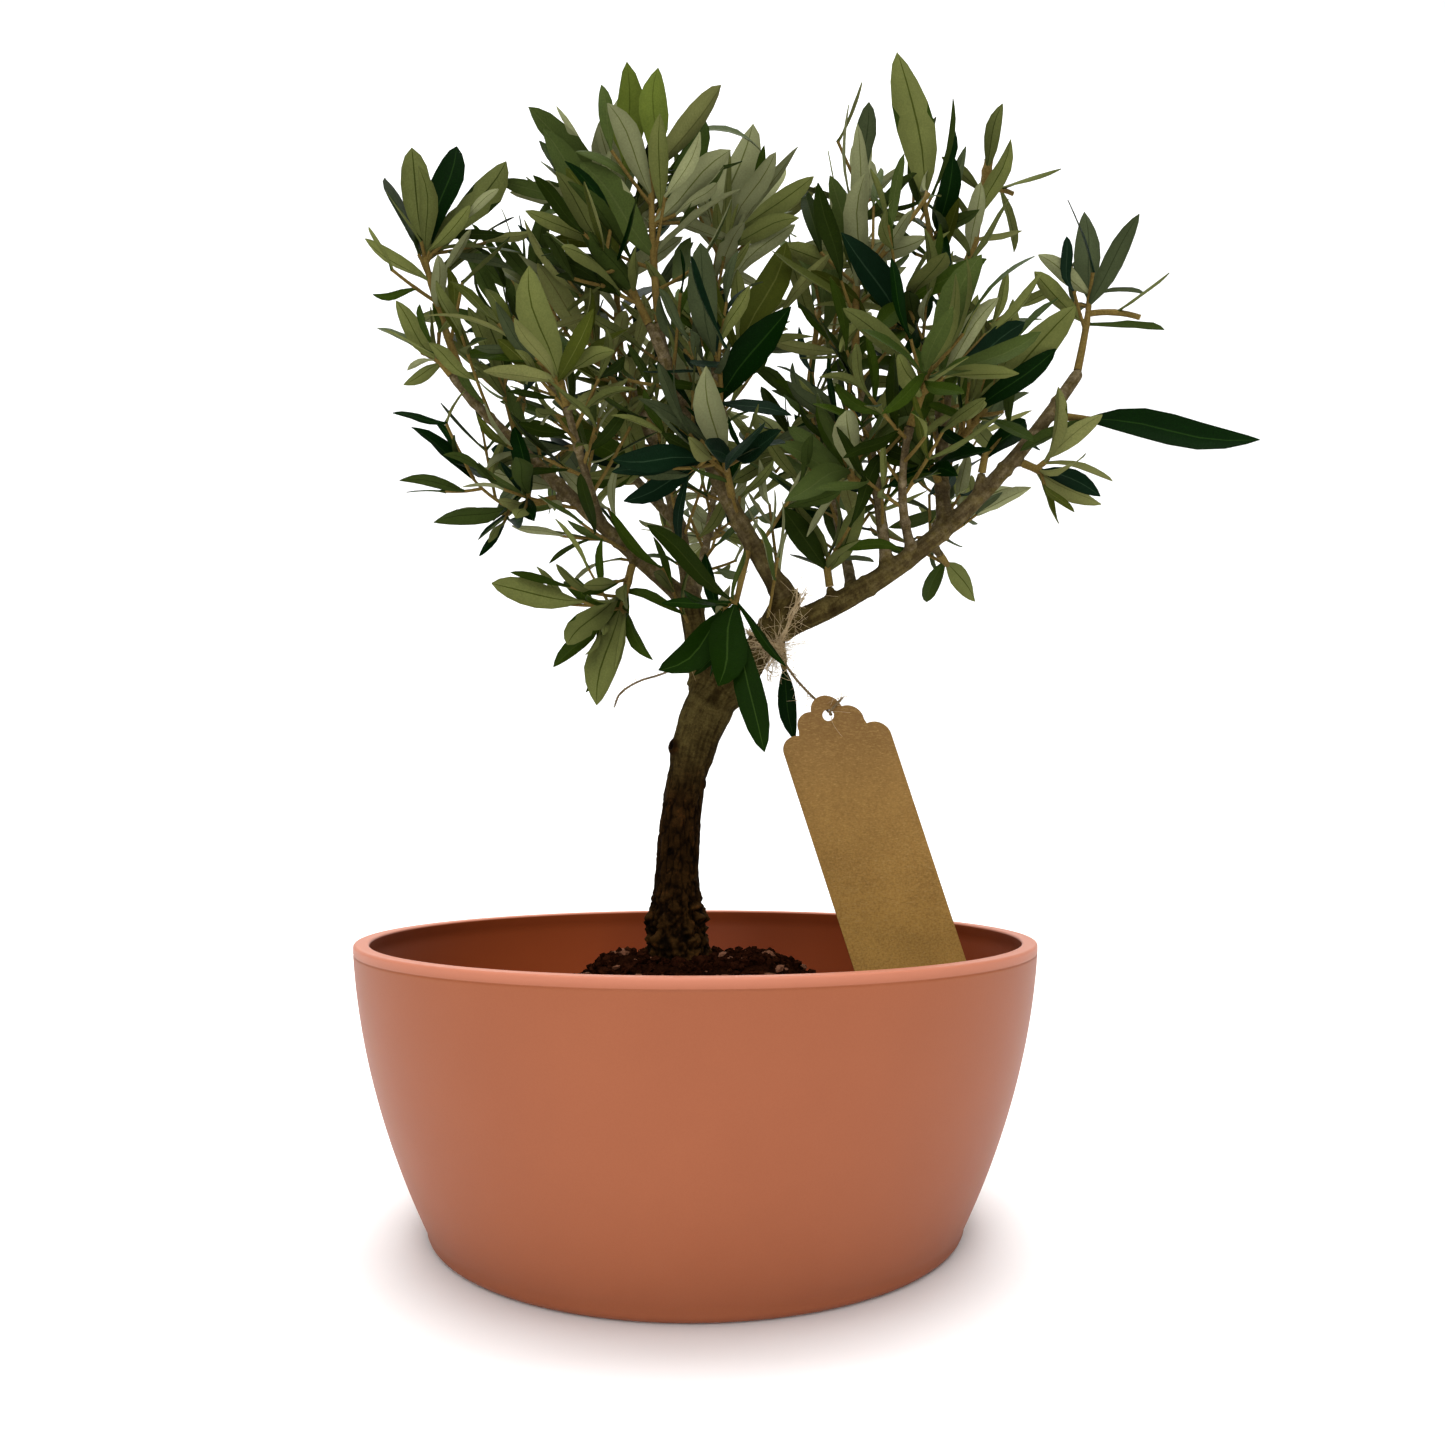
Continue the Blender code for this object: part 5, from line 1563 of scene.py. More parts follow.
    def leaf_pieces(self) -> None:
        """The leaves as two pieces: those that the solids have, which stand for the masses, and the finer ones."""
        materials = [material for tint in Tint for material in LEAF_COLOURS[tint].materials(tint)]
        names = [mass.name for mass in self.plan.masses]
        own = [place for place, leaf in enumerate(self.leaves) if not leaf.fine]
        fine = [place for place, leaf in enumerate(self.leaves) if leaf.fine]
        for name, places, nodes in (("leaves", own, names), ("fine_leaves", fine, [])):
            leaves, tints = [self.leaves[place] for place in places], [self.tints[place] for place in places]
            surface = Blade().surface(leaves, tints, self.seed + len(nodes))
            surface.points = np.clip(surface.points, self.low - 0.95 * MM, self.high + 0.95 * MM)
            dress(surface.as_object(name, materials, sharp=62.0), "foliage", *nodes)

    def twig_piece(self) -> bpy.types.Object:
        """The twigs as one piece: tapering tubes that swell a little where leaves stand."""
        parts = [self.twig_surface(shoot) for shoot in self.twigs if shoot.length() > 2 * MM]
        young = Finish("young_bark", linear(116, 98, 54), linear(82, 66, 34), 0.8, 90.0, 1400.0, 0.6, 0.5, 0.15, 0.05)
        cut = Finish("cut_wood", linear(176, 158, 112), linear(140, 120, 80), 0.9, 200.0, 1500.0, 0.5, 0.5, 0.1, 0.05)
        return dress(Surface.joined(parts).as_object("twigs", [young.material(), cut.material()], sharp=50.0), "bark",
                     *[m.name for m in self.plan.masses])

    @staticmethod
    def twig_surface(shoot: Shoot) -> Surface:
        """One twig, from inside its parent: an even taper, a little wider at each leaf pair, and a pale cut end.

        Args:
            shoot: the twig.

        Returns:
            The closed surface.
        """
        count = max(4, round(shoot.length() / (2.4 * MM)))
        shares = np.linspace(0.0, shoot.reach, count + 1)
        path = curve_points(shoot, shares)
        end = shoot.foot_radius * 0.86 if shoot.cut else min(TWIG_END_RADIUS, shoot.foot_radius * 0.7)
        radii = (shoot.foot_radius * (1 - shares) + end * shares) * (CUT_GIRTH if shoot.cut else 1.0)
        for leaf in shoot.leaves:
            radii = radii * (1 + 0.14 * np.exp(-((shares - leaf.station) * shoot.length() / (1.3 * MM)) ** 2))
        sides = 8 if shoot.foot_radius > 1.2 * MM else 6
        if not shoot.cut:
            return tube(path, radii, sides)
        tangent = unit(path[-1] - path[-2])
        rim = [path[-1] + tangent * 0.02 * MM, path[-1] + tangent * 0.22 * MM]
        face = tube(np.array(rim), np.array([0.97, 0.8]) * radii[-1], sides, 1)
        return Surface.joined([tube(path, radii, sides), face])


# Bark


@dataclass(frozen=True)
class BarkFinish(Finish):
    """Bark that reads the wood's own values: dark cork at the foot, olive-brown limbs and paler grey-brown boughs.

    Attributes:
        cork, crack_painted_shade, rust: colours of the old bark, of the painted shade in its cracks and lows, and of
            the fresh scales in it.
        smooth, smooth_pale: colours of the limbs' bark and of the thin boughs'.
        thin_low_painted_shade: colour of the painted shade in the lows of the thin boughs' bark.
    """

    cork: Colour = linear(66, 46, 24)
    crack_painted_shade: Colour = linear(9, 5, 2)
    rust: Colour = linear(116, 74, 38)
    smooth: Colour = linear(98, 86, 50)
    smooth_pale: Colour = linear(138, 123, 96)
    thin_low_painted_shade: Colour = linear(84, 72, 52)

    def surface(self, wiring: Wiring) -> tuple[bpy.types.NodeSocket, bpy.types.NodeSocket]:
        """Old and young bark mixed by age, young bark paler where it is thin, and both darkened where it lies low, as
        painted shade.

        Args:
            wiring: the wiring of the finish's node tree.

        Returns:
            The colour and the height.
        """
        age, ridge, thin = map(wiring.value, ("age", "ridge", "thin"))
        place = wiring.place()
        scales = wiring.add("TexNoise", Vector=place, Scale=420.0, Detail=2.0).outputs[0]
        old = wiring.blend(wiring.math("MULTIPLY", wiring.band(scales, 0.56, 0.7), 0.4), self.cork, self.rust)
        # Painted shade: the old bark goes nearly black in its cracks and lows, by ridge.
        old = wiring.blend(ridge, self.crack_painted_shade, old)
        scaly = wiring.math("MULTIPLY", wiring.band(scales, 0.35, 0.65), thin)
        young = wiring.blend(scaly, self.smooth, self.smooth_pale)
        # Painted shade: the young bark's lows take this finish's own colour on the limbs and a grey-brown on the thin
        # boughs.
        young = wiring.blend(ridge, wiring.blend(thin, self.colour, self.thin_low_painted_shade), young)
        mottle = self.mottle(wiring, wiring.blend(age, young, old), self.second)
        return mottle.outputs["Colour"], mottle.outputs["Height"]


@dataclass
class Grain:
    """Samples along the middle lines of some limbs, to give any point its place along and across the nearest one."""

    limbs: Sequence[Limb]
    spacing: float = 1.5 * MM
    places: Array = field(default_factory=lambda: np.zeros((0, 3)))
    axes: Array = field(default_factory=lambda: np.zeros((0, 3, 3)))
    along: Array = field(default_factory=lambda: np.zeros(0))
    seeds: Array = field(default_factory=lambda: np.zeros(0))
    radii: Array = field(default_factory=lambda: np.zeros(0))

    def __post_init__(self) -> None:
        """Works out the samples."""
        rows = []
        for index, limb in enumerate(self.limbs):
            count = max(6, round((Vector(limb.tip) * MM - limb.foot).length / self.spacing))
            shares = np.linspace(0.0, 1.0, count)
            path = curve_points(limb, shares)
            tangents, sides, ups = frames_along(path)
            run = run_along(path)
            radii = np.array([limb.radius(float(t)) for t in shares])
            rows.append((path, np.stack([sides, ups, tangents], 1), run, np.full(count, index * 17.0), radii))
        self.places, self.axes, self.along, self.seeds, self.radii = (np.concatenate(column) for column in zip(*rows))

    def coordinates(self, points: Array) -> tuple[Array, Array, Array]:
        """Places in the nearest limb's own frame.

        Args:
            points: shape (n, 3).

        Returns:
            Across twice and along in metres (n, 3), each limb's own shift of the noise (n,), and its radius there (n,).
        """
        local, seeds, radii = np.empty_like(points), np.empty(len(points)), np.empty(len(points))
        for start in range(0, len(points), 4096):
            block = points[start : start + 4096]
            gap = np.linalg.norm(block[:, None] - self.places[None], axis=2) - self.radii[None]
            nearest = gap.argmin(1)
            turned = np.einsum("nij,nj->ni", self.axes[nearest], block - self.places[nearest])
            turned[:, 2] += self.along[nearest]
            local[start : start + 4096] = turned
            seeds[start : start + 4096] = self.seeds[nearest]
            radii[start : start + 4096] = self.radii[nearest]
        return local, seeds, radii


OLD_BARK_TOP = (150.0, 184.0)  # heights in mm between which the old bark ends
COLLAR_TOP = (113.0, 121.0)  # and the knobbly bark
SCAR_SPACING = 17 * MM
# How long the noise's patches are across a limb, twice, and along it.
CRACK_GRAIN = np.array([1.5, 1.5, 5.0]) * MM
PLATE_GRAIN = np.array([1.9, 1.9, 3.4]) * MM
LUMP_GRAIN = np.array([4.5, 4.5, 9.0]) * MM
CREASE_GRAIN = np.array([3.5, 3.5, 0.7]) * MM
STREAK_GRAIN = np.array([0.9, 0.9, 6.0]) * MM
KNOB_SIZE = 4.2 * MM
FULL_RELIEF_RADIUS = 8 * MM  # a limb of this radius has young bark's full relief
TRUNK_SIDES, BOUGH_SIDES, STUB_SIDES = 24, 20, 12
TRUNK_WIDTHS = (  # height and width in mm, measured up the trunk's face
    (92.0, 25.0), (98.0, 23.4), (104.0, 21.6), (110.0, 21.2), (114.0, 20.2), (118.0, 18.0), (127.0, 16.5),
    (137.0, 16.5), (146.0, 15.4), (155.0, 15.2), (164.0, 15.0), (169.0, 16.4), (173.5, 17.6), (178.0, 17.6),
    (183.0, 18.6), (188.0, 19.4),
)

# Height in mm, bearing in degrees from the right, radius, how far the ring stands out and how deep its eye is.
KNOTS = (
    (174.0, -150.0, 2.5, 1.7, 2.2), (134.0, -112.0, 1.3, 0.6, 1.5), (121.0, -40.0, 1.7, 0.9, 0.9),
    (106.0, -160.0, 3.0, 1.9, 1.4), (103.0, -70.0, 2.6, 1.5, 1.0), (108.0, -20.0, 2.2, 1.3, 0.8),
    (100.0, -115.0, 2.8, 1.6, 1.2), (160.0, -20.0, 1.8, 0.9, 0.7),
)


@dataclass
class Wood:
    """Trunk, limbs and boughs as closed skins with the bark's relief.

    Attributes:
        plan: where they start.
        lower: the limbs that the finely meshed lower piece holds.
        lower_cell, upper_cell: edge length of the two skins' faces.
        collar: how much wider a bough is where it leaves its parent.
    """

    plan: Plan
    lower: tuple[str, ...] = ("trunk", "left_limb", "right_limb")
    lower_cell: float = 0.45 * MM
    upper_cell: float = 0.58 * MM
    collar: float = 0.4

    def bare_tube(self, limb: Limb) -> Surface:
        """One limb without relief. A bough starts inside its parent and widens into it by a collar that fades fast.

        Args:
            limb: the limb.

        Returns:
            The closed surface.
        """
        count = max(8, round((Vector(limb.tip) * MM - limb.foot).length / (2.0 * MM)))
        shares = np.linspace(0.0, 1.0, count)
        path = curve_points(limb, shares)
        radii = np.array([limb.radius(float(t)) for t in shares])
        if not limb.parent:
            measured = np.interp(path[:, 2], *(np.array(column) * MM for column in zip(*TRUNK_WIDTHS))) / 2
            path = np.concatenate([path[:1] - [0.0, 0.0, 2 * MM], path])
            return tube(*rounded(path, np.concatenate([measured[:1], measured])), TRUNK_SIDES)
        start = np.array(self.plan.starts[limb.name])
        foot = np.array(limb.foot)
        steps = max(2, round(np.linalg.norm(foot - start) / (1.5 * MM)))
        into = start + (foot - start) * np.linspace(0.0, 1.0, steps, endpoint=False)[:, None]
        path, radii = np.concatenate([into, path]), np.concatenate([np.full(steps, radii[0]), radii])
        parent_radius = self.plan.limbs[limb.parent].radius(limb.station)
        away = np.linalg.norm(path - start, axis=1) - parent_radius
        radii = radii * (1 + self.collar * np.exp(-np.maximum(away, 0.0) / (0.45 * parent_radius)))
        return tube(*rounded(path, np.minimum(radii, max(parent_radius * 0.95, radii[-1]))), BOUGH_SIDES)

    def stubs(self, names: Sequence[str]) -> list[Surface]:
        """The first stretch of each spray's stem, which grows out of its bough.

        Args:
            names: the boughs of one skin.

        Returns:
            A tube for each spray.
        """
        parts = []
        for mass in self.plan.masses:
            if mass.parent in names:
                start, foot = np.array(self.plan.starts[mass.name]), np.array(mass.foot)
                path = start + (foot - start) * np.linspace(0.0, 1.0, 6)[:, None]
                parts.append(tube(path, np.linspace(1.5, 1.02, 6) * STEM_RADIUS, STUB_SIDES))
        return parts

    def skin(self, name: str, names: Sequence[str], cell: float) -> Surface:
        """The named limbs grown together: their tubes are remeshed as one skin and smoothed, then given their relief.

        Args:
            name: name of the scratch mesh.
            names: the limbs.
            cell: edge length of the skin's faces.

        Returns:
            The skin with its values age, ridge and thin.
        """
        limbs = [self.plan.limbs[key] for key in names]
        rough = Surface.joined([self.bare_tube(limb) for limb in limbs] + self.stubs(names)).as_object(name, [])
        remesh = rough.modifiers.new("skin", "REMESH")
        remesh.mode, remesh.voxel_size = "VOXEL", cell
        soften = rough.modifiers.new("soften", "SMOOTH")
        soften.factor, soften.iterations = 0.5, 14
        mesh = evaluated_mesh(rough)
        points, normals = read_vectors(mesh.vertices, "co"), read_vectors(mesh.vertices, "normal")
        corners = np.empty(len(mesh.loops), dtype=np.int64)
        mesh.loops.foreach_get("vertex_index", corners)
        faces = corners.reshape(-1, 4)
        relief, values = self.relief(points, Grain(limbs))
        return Surface(points + normals * relief[:, None], [faces], [np.zeros(len(faces), int)], values)

    @staticmethod
    def relief(points: Array, grain: Grain) -> tuple[Array, dict[str, Array]]:
        """How far the bark stands out, and what its finish reads.

        Old bark is cork: knobs below the collar, and above it narrow cracks, much longer than wide, where a stretched
        noise is near nought. Young bark has low lumps, fine creases round it and a pair of leaf scars every 17 mm: at
        the angle a round the limb they stand out as cos^6(a), a quarter turn on from one pair to the next. Age falls
        from 1 at the ground to 0 at the fork.

        Args:
            points: the skin's points.
            grain: gives each its place on the limb.

        Returns:
            Relief in metres, and by point the age, the ridge (1 on the bark's heights, 0 in its lows) and how thin the
            limb is.
        """
        local, seeds, radii = grain.coordinates(points)
        shift = seeds[:, None] * np.array([1.0, 0.7, 1.3])
        height = points[:, 2] / MM
        old = 1.0 - eased(*OLD_BARK_TOP, height + 5.0 * smooth_noise(points / (9 * MM), 3))
        knobbly = 1.0 - eased(*COLLAR_TOP, height + 3.0 * smooth_noise(points / (7 * MM), 5))
        stretched = local / CRACK_GRAIN + shift
        crack = 1.0 - eased(0.0, 0.28, np.abs(layered_noise(stretched, 2, 11)))
        plates = layered_noise(local / PLATE_GRAIN + shift, 2, 23)
        knobs = np.abs(layered_noise(points / KNOB_SIZE, 3, 31))
        lumps = layered_noise(local / LUMP_GRAIN + shift, 2, 41)
        creases = smooth_noise(local / CREASE_GRAIN + shift, 53)
        streaks = layered_noise(local / STREAK_GRAIN + shift, 2, 59)
        thick = np.clip(radii / FULL_RELIEF_RADIUS, 0.25, 1.0)
        pair = local[:, 2] / SCAR_SPACING + seeds + 0.3 * smooth_noise(points / (40 * MM), 67)
        way = np.arctan2(local[:, 1], local[:, 0]) + np.floor(pair) * np.pi / 2
        scars = np.exp(-(((pair % 1.0 - 0.5) / 0.075) ** 2)) * (0.25 + np.cos(way) ** 6)
        rough = 0.28 * plates - 0.42 * crack + 0.08 * creases
        heap = knobbly * (2.7 * knobs - 0.7)
        split = 0.16 * crack * eased(0.2, 0.9, thick)
        young = thick * (0.3 * lumps + 0.07 * creases + 0.1 * streaks - split) + 0.42 * scars
        knot, eye = np.zeros(len(points)), np.zeros(len(points))
        for z, bearing, wide, proud, deep in KNOTS:
            level = np.abs(grain.places[:, 2] / MM - z).argmin()
            if abs(grain.places[level, 2] / MM - z) > 2.0:
                continue
            out = np.array([math.cos(math.radians(bearing)), math.sin(math.radians(bearing)), 0.0])
            away = np.linalg.norm(points - grain.places[level] - out * grain.radii[level], axis=1) / (wide * MM)
            knot += proud * np.exp(-(away**4) / 2.0)
            eye += deep * np.exp(-((away / 0.42) ** 2))
        smooth_ridge = 0.5 * lumps + 0.6 * streaks + 0.35 * creases + scars
        ridge = old * (rough + heap * 0.6) / 0.34 + (1.0 - old) * smooth_ridge / 0.7
        # Ridge is low in the bark's lows and in the knots' eyes, where the finish paints shade.
        values = {"age": np.clip(old + knobbly * 0.3 + knot, 0.0, 1.0), "ridge": 0.5 + 0.5 * np.tanh(ridge - 3.0 * eye),
                  "thin": 1.0 - eased(1.8, 4.8, radii / MM)}
        return (old * rough + heap + (1.0 - old) * young + knot - eye) * MM, values

    def uppers(self) -> list[str]:
        """The boughs that the upper piece holds."""
        return [name for name in self.plan.limbs if name not in self.lower]

    def pieces(self) -> list[bpy.types.Object]:
        """The trunk with its two limbs, and the boughs, as two pieces that replace the solid wood."""
        # Its colour is the painted shade in the lows of the limbs' young bark.
        finish = BarkFinish("olive_bark", linear(44, 34, 16), linear(26, 18, 8),
                            0.9, 120.0, 1500.0, 0.35, 0.35, 0.25, 0.03)
        upper = self.uppers()
        pieces = []
        for name, names, cell in (("trunk_bark", self.lower, self.lower_cell), ("bough_bark", upper, self.upper_cell)):
            piece = self.skin(name, names, cell).as_object(name, [finish.material()])
            pieces.append(dress(piece, "bark", *names))
        return pieces


# Bowl and soil

BOWL_RADIUS = 125.0 * MM
BOWL_HEIGHT = 102.5 * MM
BOWL_SLANT = 7.5 * MM
BOWL_BELLY = 22.0 * MM
BOWL_WALL = 4.0 * MM
BOWL_FLOOR = 4.0 * MM
BOWL_FOOT_ROUND = 4.0 * MM


def bowl_radius(height: Array | float) -> Array | float:
    """Outer radius of the bowl's wall: an even slope plus a curve that fades towards the lip."""
    short = 1.0 - height / BOWL_HEIGHT
    return BOWL_RADIUS - BOWL_SLANT * short - BOWL_BELLY * short**2


def turned(profile: Array, steps: int) -> Surface:
    """A profile of (radius, height) rows turned about +Z: (r cos a, r sin a, z). It runs up outside and down inside.

    Args:
        profile: its rows.
        steps: how many sides.

    Returns:
        The closed surface.
    """
    angles = full_turn(steps)
    radius, height = profile[:, :1], profile[:, 1:]
    points = np.stack([radius * np.cos(angles), radius * np.sin(angles),
                       np.broadcast_to(height, (len(profile), steps))], -1)
    return Surface.grid(points)


@dataclass(frozen=True)
class PlasticFinish(Finish):
    """The bowl's matt plastic: an even coat outside, with a paler lip and a dark inside by the surface's own values."""

    lip: Colour = linear(192, 122, 98)
    inside: Colour = linear(150, 70, 36)

    def surface(self, wiring: Wiring) -> tuple[bpy.types.NodeSocket, bpy.types.NodeSocket]:
        """The mottled coat, blended to the lip's and the inside's colours by the values lip and inside.

        Args:
            wiring: the wiring of the finish's node tree.

        Returns:
            The colour and the height.
        """
        mottle = self.mottle(wiring, self.colour, self.second)
        lip = wiring.value("lip")
        inside = wiring.value("inside")
        coat = wiring.blend(wiring.math("MULTIPLY", lip, 0.75), mottle.outputs["Colour"], self.lip)
        return wiring.blend(inside, coat, self.inside), mottle.outputs["Height"]


@dataclass
class Bowl:
    """The round bowl: a swelling wall with a thin flat rim that stands proud of it, rounded at both edges.

    Attributes:
        steps: how many facets round.
        lip_width: how wide the rim is.
        lip_height: how tall it is.
        seam_depth: how deep the parting line under the rim is.
    """

    steps: int = 256
    lip_width: float = 5.4 * MM
    lip_height: float = 2.6 * MM
    seam_depth: float = 0.22 * MM

    def profile(self) -> tuple[Array, Array, Array]:
        """The bowl's section from the middle of its underside round to the middle of its floor.

        Returns:
            (radius, height) rows, how much each is lip, and how much each is inside.
        """
        foot = bowl_radius(0.0) - BOWL_FOOT_ROUND * 0.6
        round_angles = np.linspace(0.0, np.pi / 2, 8)
        corner_radius = BOWL_FOOT_ROUND * 0.8
        base = [(0.05 * MM, 0.0), (foot * 0.4, 0.0), (foot * 0.8, 0.0), (foot - 3 * MM, 0.0), (foot - 1.4 * MM, 0.0)]
        corner = [(foot + (bowl_radius(BOWL_FOOT_ROUND) - foot) * math.sin(a), corner_radius * (1 - math.cos(a)))
                  for a in round_angles]
        seam = BOWL_HEIGHT - self.lip_height
        heights = np.concatenate([np.linspace(BOWL_FOOT_ROUND, seam - 1.6 * MM, 36),
                                  np.linspace(seam - 1.4 * MM, seam - 0.2 * MM, 7)])
        groove = self.seam_depth * np.exp(-(((heights - seam + 0.7 * MM) / (0.32 * MM)) ** 2))
        wall = list(zip(bowl_radius(heights) - groove, heights))
        outer, inner = bowl_radius(seam), bowl_radius(seam) - self.lip_width
        edge = 0.9 * MM
        turns = np.linspace(0.0, np.pi / 2, 7)
        rim = [(outer - edge * (1 - math.cos(a)), BOWL_HEIGHT - edge * (1 - math.sin(a))) for a in turns]
        rim += [(outer - self.lip_width * share, BOWL_HEIGHT - 0.12 * MM * math.sin(math.pi * share))
                for share in (0.3, 0.5, 0.7)]
        rim += [(inner + edge * (1 - math.sin(a)), BOWL_HEIGHT - edge * (1 - math.cos(a))) for a in turns]
        inside_heights = np.linspace(seam - 1.2 * MM, BOWL_FLOOR + BOWL_FOOT_ROUND, 24)
        inside = list(zip(bowl_radius(inside_heights) - BOWL_WALL, inside_heights))
        floor = [(bowl_radius(BOWL_FLOOR) - BOWL_WALL - BOWL_FOOT_ROUND, BOWL_FLOOR), (0.05 * MM, BOWL_FLOOR)]
        parts = (base, corner, wall, rim, inside, floor)
        rows = np.array([row for part in parts for row in part])
        before, after = len(base) + len(corner) + len(wall), len(inside) + len(floor)
        lip = np.concatenate([np.zeros(before), np.ones(len(rim)), np.zeros(after)])
        lip[before - 2 : before] = 0.5
        dark = np.concatenate([np.zeros(before), np.zeros(len(rim) - 3), (0.3, 0.7, 1.0), np.ones(after)])
        return rows, lip, dark

    def piece(self) -> bpy.types.Object:
        """The finished bowl."""
        rows, lip, dark = self.profile()
        surface = turned(rows, self.steps)
        surface.values = {"lip": np.repeat(lip, self.steps), "inside": np.repeat(dark, self.steps)}
        finish = PlasticFinish("terracotta_plastic", linear(151, 88, 60), linear(142, 81, 55),
                               0.5, 14.0, 1800.0, 0.6, 0.25, 0.02, 0.16)
        return dress(surface.as_object("bowl_shell", [finish.material()], sharp=45.0), "terracotta", "bowl")


CRUMB_SIZES = (0.35 * MM, 2.3 * MM)
DRY_CRUMB_SIZES = (0.3 * MM, 1.4 * MM)
CHIP_SIZES = (0.7 * MM, 2.6 * MM)


@dataclass
class Soil:
    """The soil: low round the wall, heaped round the trunk, with crumbs and chips lying on it.

    Attributes:
        seat, heap: radii between which it falls off.
        drop: from the seat down to the soil at the wall.
        crumbs, chips: how many of each.
        seed: picks where they lie.
    """

    seat: float = 26.0 * MM
    heap: float = 72.0 * MM
    drop: float = 22.3 * MM
    crumbs: int = 5200
    chips: int = 150
    seed: int = 11

    def height(self, x: Array, y: Array) -> Array:
        """Half a cosine wave from the seat to the edge, a low bank right of the trunk, and lumps of three sizes.

        Args:
            x: places to the right, in metres.
            y: and away from the camera.

        Returns:
            The heights.
        """
        radius = np.hypot(x, y)
        share = np.clip((radius - self.seat) / (self.heap - self.seat), 0.0, 1.0)
        smooth = GROUND - self.drop * (1 - np.cos(np.pi * share)) / 2
        flat = np.stack([x, y, np.zeros_like(x)], -1)
        lumps = 1.5 * layered_noise(flat / (9 * MM), 3, 61) + 0.55 * smooth_noise(flat / (1.7 * MM), 71)
        bank = 2.6 * np.exp(-(((x - 20 * MM) / (13 * MM)) ** 2) - ((y + 6 * MM) / (16 * MM)) ** 2)
        bank = bank + 1.6 * np.exp(-(((x + 26 * MM) / (10 * MM)) ** 2) - ((y + 8 * MM) / (14 * MM)) ** 2)
        return smooth + (lumps + bank) * MM

    def bed(self) -> Surface:
        """The body of soil: a plain side and underside, and the lumpy top on rings from the wall to the middle."""
        steps = 240
        wall = BOWL_WALL + 0.5 * MM
        foot = bowl_radius(BOWL_FLOOR) - wall - BOWL_FOOT_ROUND
        side_heights = np.array([8.5, 20.0, 44.0, 58.0, 68.0]) * MM
        lower = [(0.05 * MM, BOWL_FLOOR + 0.3 * MM), (foot, BOWL_FLOOR + 0.3 * MM)]
        rows = np.array(lower + list(zip(bowl_radius(side_heights) - wall, side_heights)))
        below = turned(rows, steps).points.reshape(len(rows), steps, 3)
        edge = bowl_radius(69 * MM) - wall
        radii = edge * np.linspace(1.0, 0.001, 96)
        angles = full_turn(steps)
        x, y = radii[:, None] * np.cos(angles), radii[:, None] * np.sin(angles)
        top = np.stack([x, y, self.height(x, y)], -1)
        return Surface.grid(np.concatenate([below, top]))

    def bits(self, count: int, sizes: tuple[float, float], flatness: float,
             reach: float, finish: int, seed: int) -> Surface:
        """Loose bits on the soil: a twenty-faced ball whose corners are pushed about, squashed, turned and laid down.

        Args:
            count: how many.
            sizes: least and greatest radius. Small ones are commoner, as the share to the power 2.5.
            flatness: height over width.
            reach: how far from the middle they lie.
            finish: the finish number.
            seed: picks them.

        Returns:
            The bits.
        """
        rng = np.random.default_rng(seed)
        golden = (1 + 5**0.5) / 2
        corners = unit(np.array([(-1, golden, 0), (1, golden, 0), (-1, -golden, 0), (1, -golden, 0),
                                 (0, -1, golden), (0, 1, golden),
                                 (0, -1, -golden), (0, 1, -golden), (golden, 0, -1), (golden, 0, 1), (-golden, 0, -1),
                                 (-golden, 0, 1)], dtype=float))
        faces = np.array([(0, 11, 5), (0, 5, 1), (0, 1, 7), (0, 7, 10), (0, 10, 11), (1, 5, 9), (5, 11, 4), (11, 10, 2),
                          (10, 7, 6), (7, 1, 8), (3, 9, 4), (3, 4, 2), (3, 2, 6), (3, 6, 8), (3, 8, 9),
                          (4, 9, 5), (2, 4, 11),
                          (6, 2, 10), (8, 6, 7), (9, 8, 1)])
        size = sizes[0] + (sizes[1] - sizes[0]) * rng.uniform(0, 1, count) ** 2.5
        form = corners[None] * rng.uniform(0.7, 1.25, (count, 12, 1)) * size[:, None, None]
        form = form * rng.uniform(0.7, 1.4, (count, 1, 3)) * np.array([1.0, 1.0, flatness])
        tilt, spin = rng.uniform(-0.6, 0.6, count), rng.uniform(0, 2 * np.pi, count)
        form = rolled(rolled(form, tilt, 1, 2), spin, 0, 1)
        radius = reach * np.sqrt(rng.uniform(0.0, 1.0, count))
        angle = rng.uniform(0, 2 * np.pi, count)
        x, y = radius * np.cos(angle), radius * np.sin(angle)
        middle = np.stack([x, y, self.height(x, y) + size * flatness * 0.35], -1)
        pattern = Surface(corners, [faces], [np.zeros(20, int)])
        return Surface.many(form + middle[:, None], pattern, np.full(count, finish))

    def pieces(self) -> list[bpy.types.Object]:
        """The soil and what lies on it."""
        earth = Finish("potting_soil", linear(42, 25, 17), linear(16, 9, 6), 1.0, 160.0, 900.0, 0.6, 0.6, 0.5, 0.0)
        clods = Finish("clods", linear(54, 31, 21), linear(18, 10, 7), 1.0, 260.0, 1200.0, 0.6, 0.6, 0.4, 0.0)
        dry = Finish("dry_clods", linear(66, 40, 26), linear(34, 19, 12), 1.0, 260.0, 1200.0, 0.6, 0.6, 0.4, 0.0)
        chip = Finish("pale_chips", linear(126, 86, 66), linear(78, 50, 36), 0.95, 300.0, 1200.0, 0.6, 0.5, 0.3, 0.03)
        bed = self.bed().as_object("soil_bed", [earth.material()], sharp=80.0)
        reach = bowl_radius(72 * MM) - BOWL_WALL - 4 * MM
        parts = [self.bits(self.crumbs, CRUMB_SIZES, 0.8, reach, 0, self.seed),
                 self.bits(self.crumbs // 6, DRY_CRUMB_SIZES, 0.8, reach, 1, self.seed + 1),
                 self.bits(self.chips, CHIP_SIZES, 0.45, 60 * MM, 2, self.seed + 2)]
        materials = [clods.material(), dry.material(), chip.material()]
        crumbs = Surface.joined(parts).as_object("soil_crumbs", materials, sharp=35.0)
        return [dress(bed, "earth", "soil"), dress(crumbs, "earth")]


# Gift tag and twine


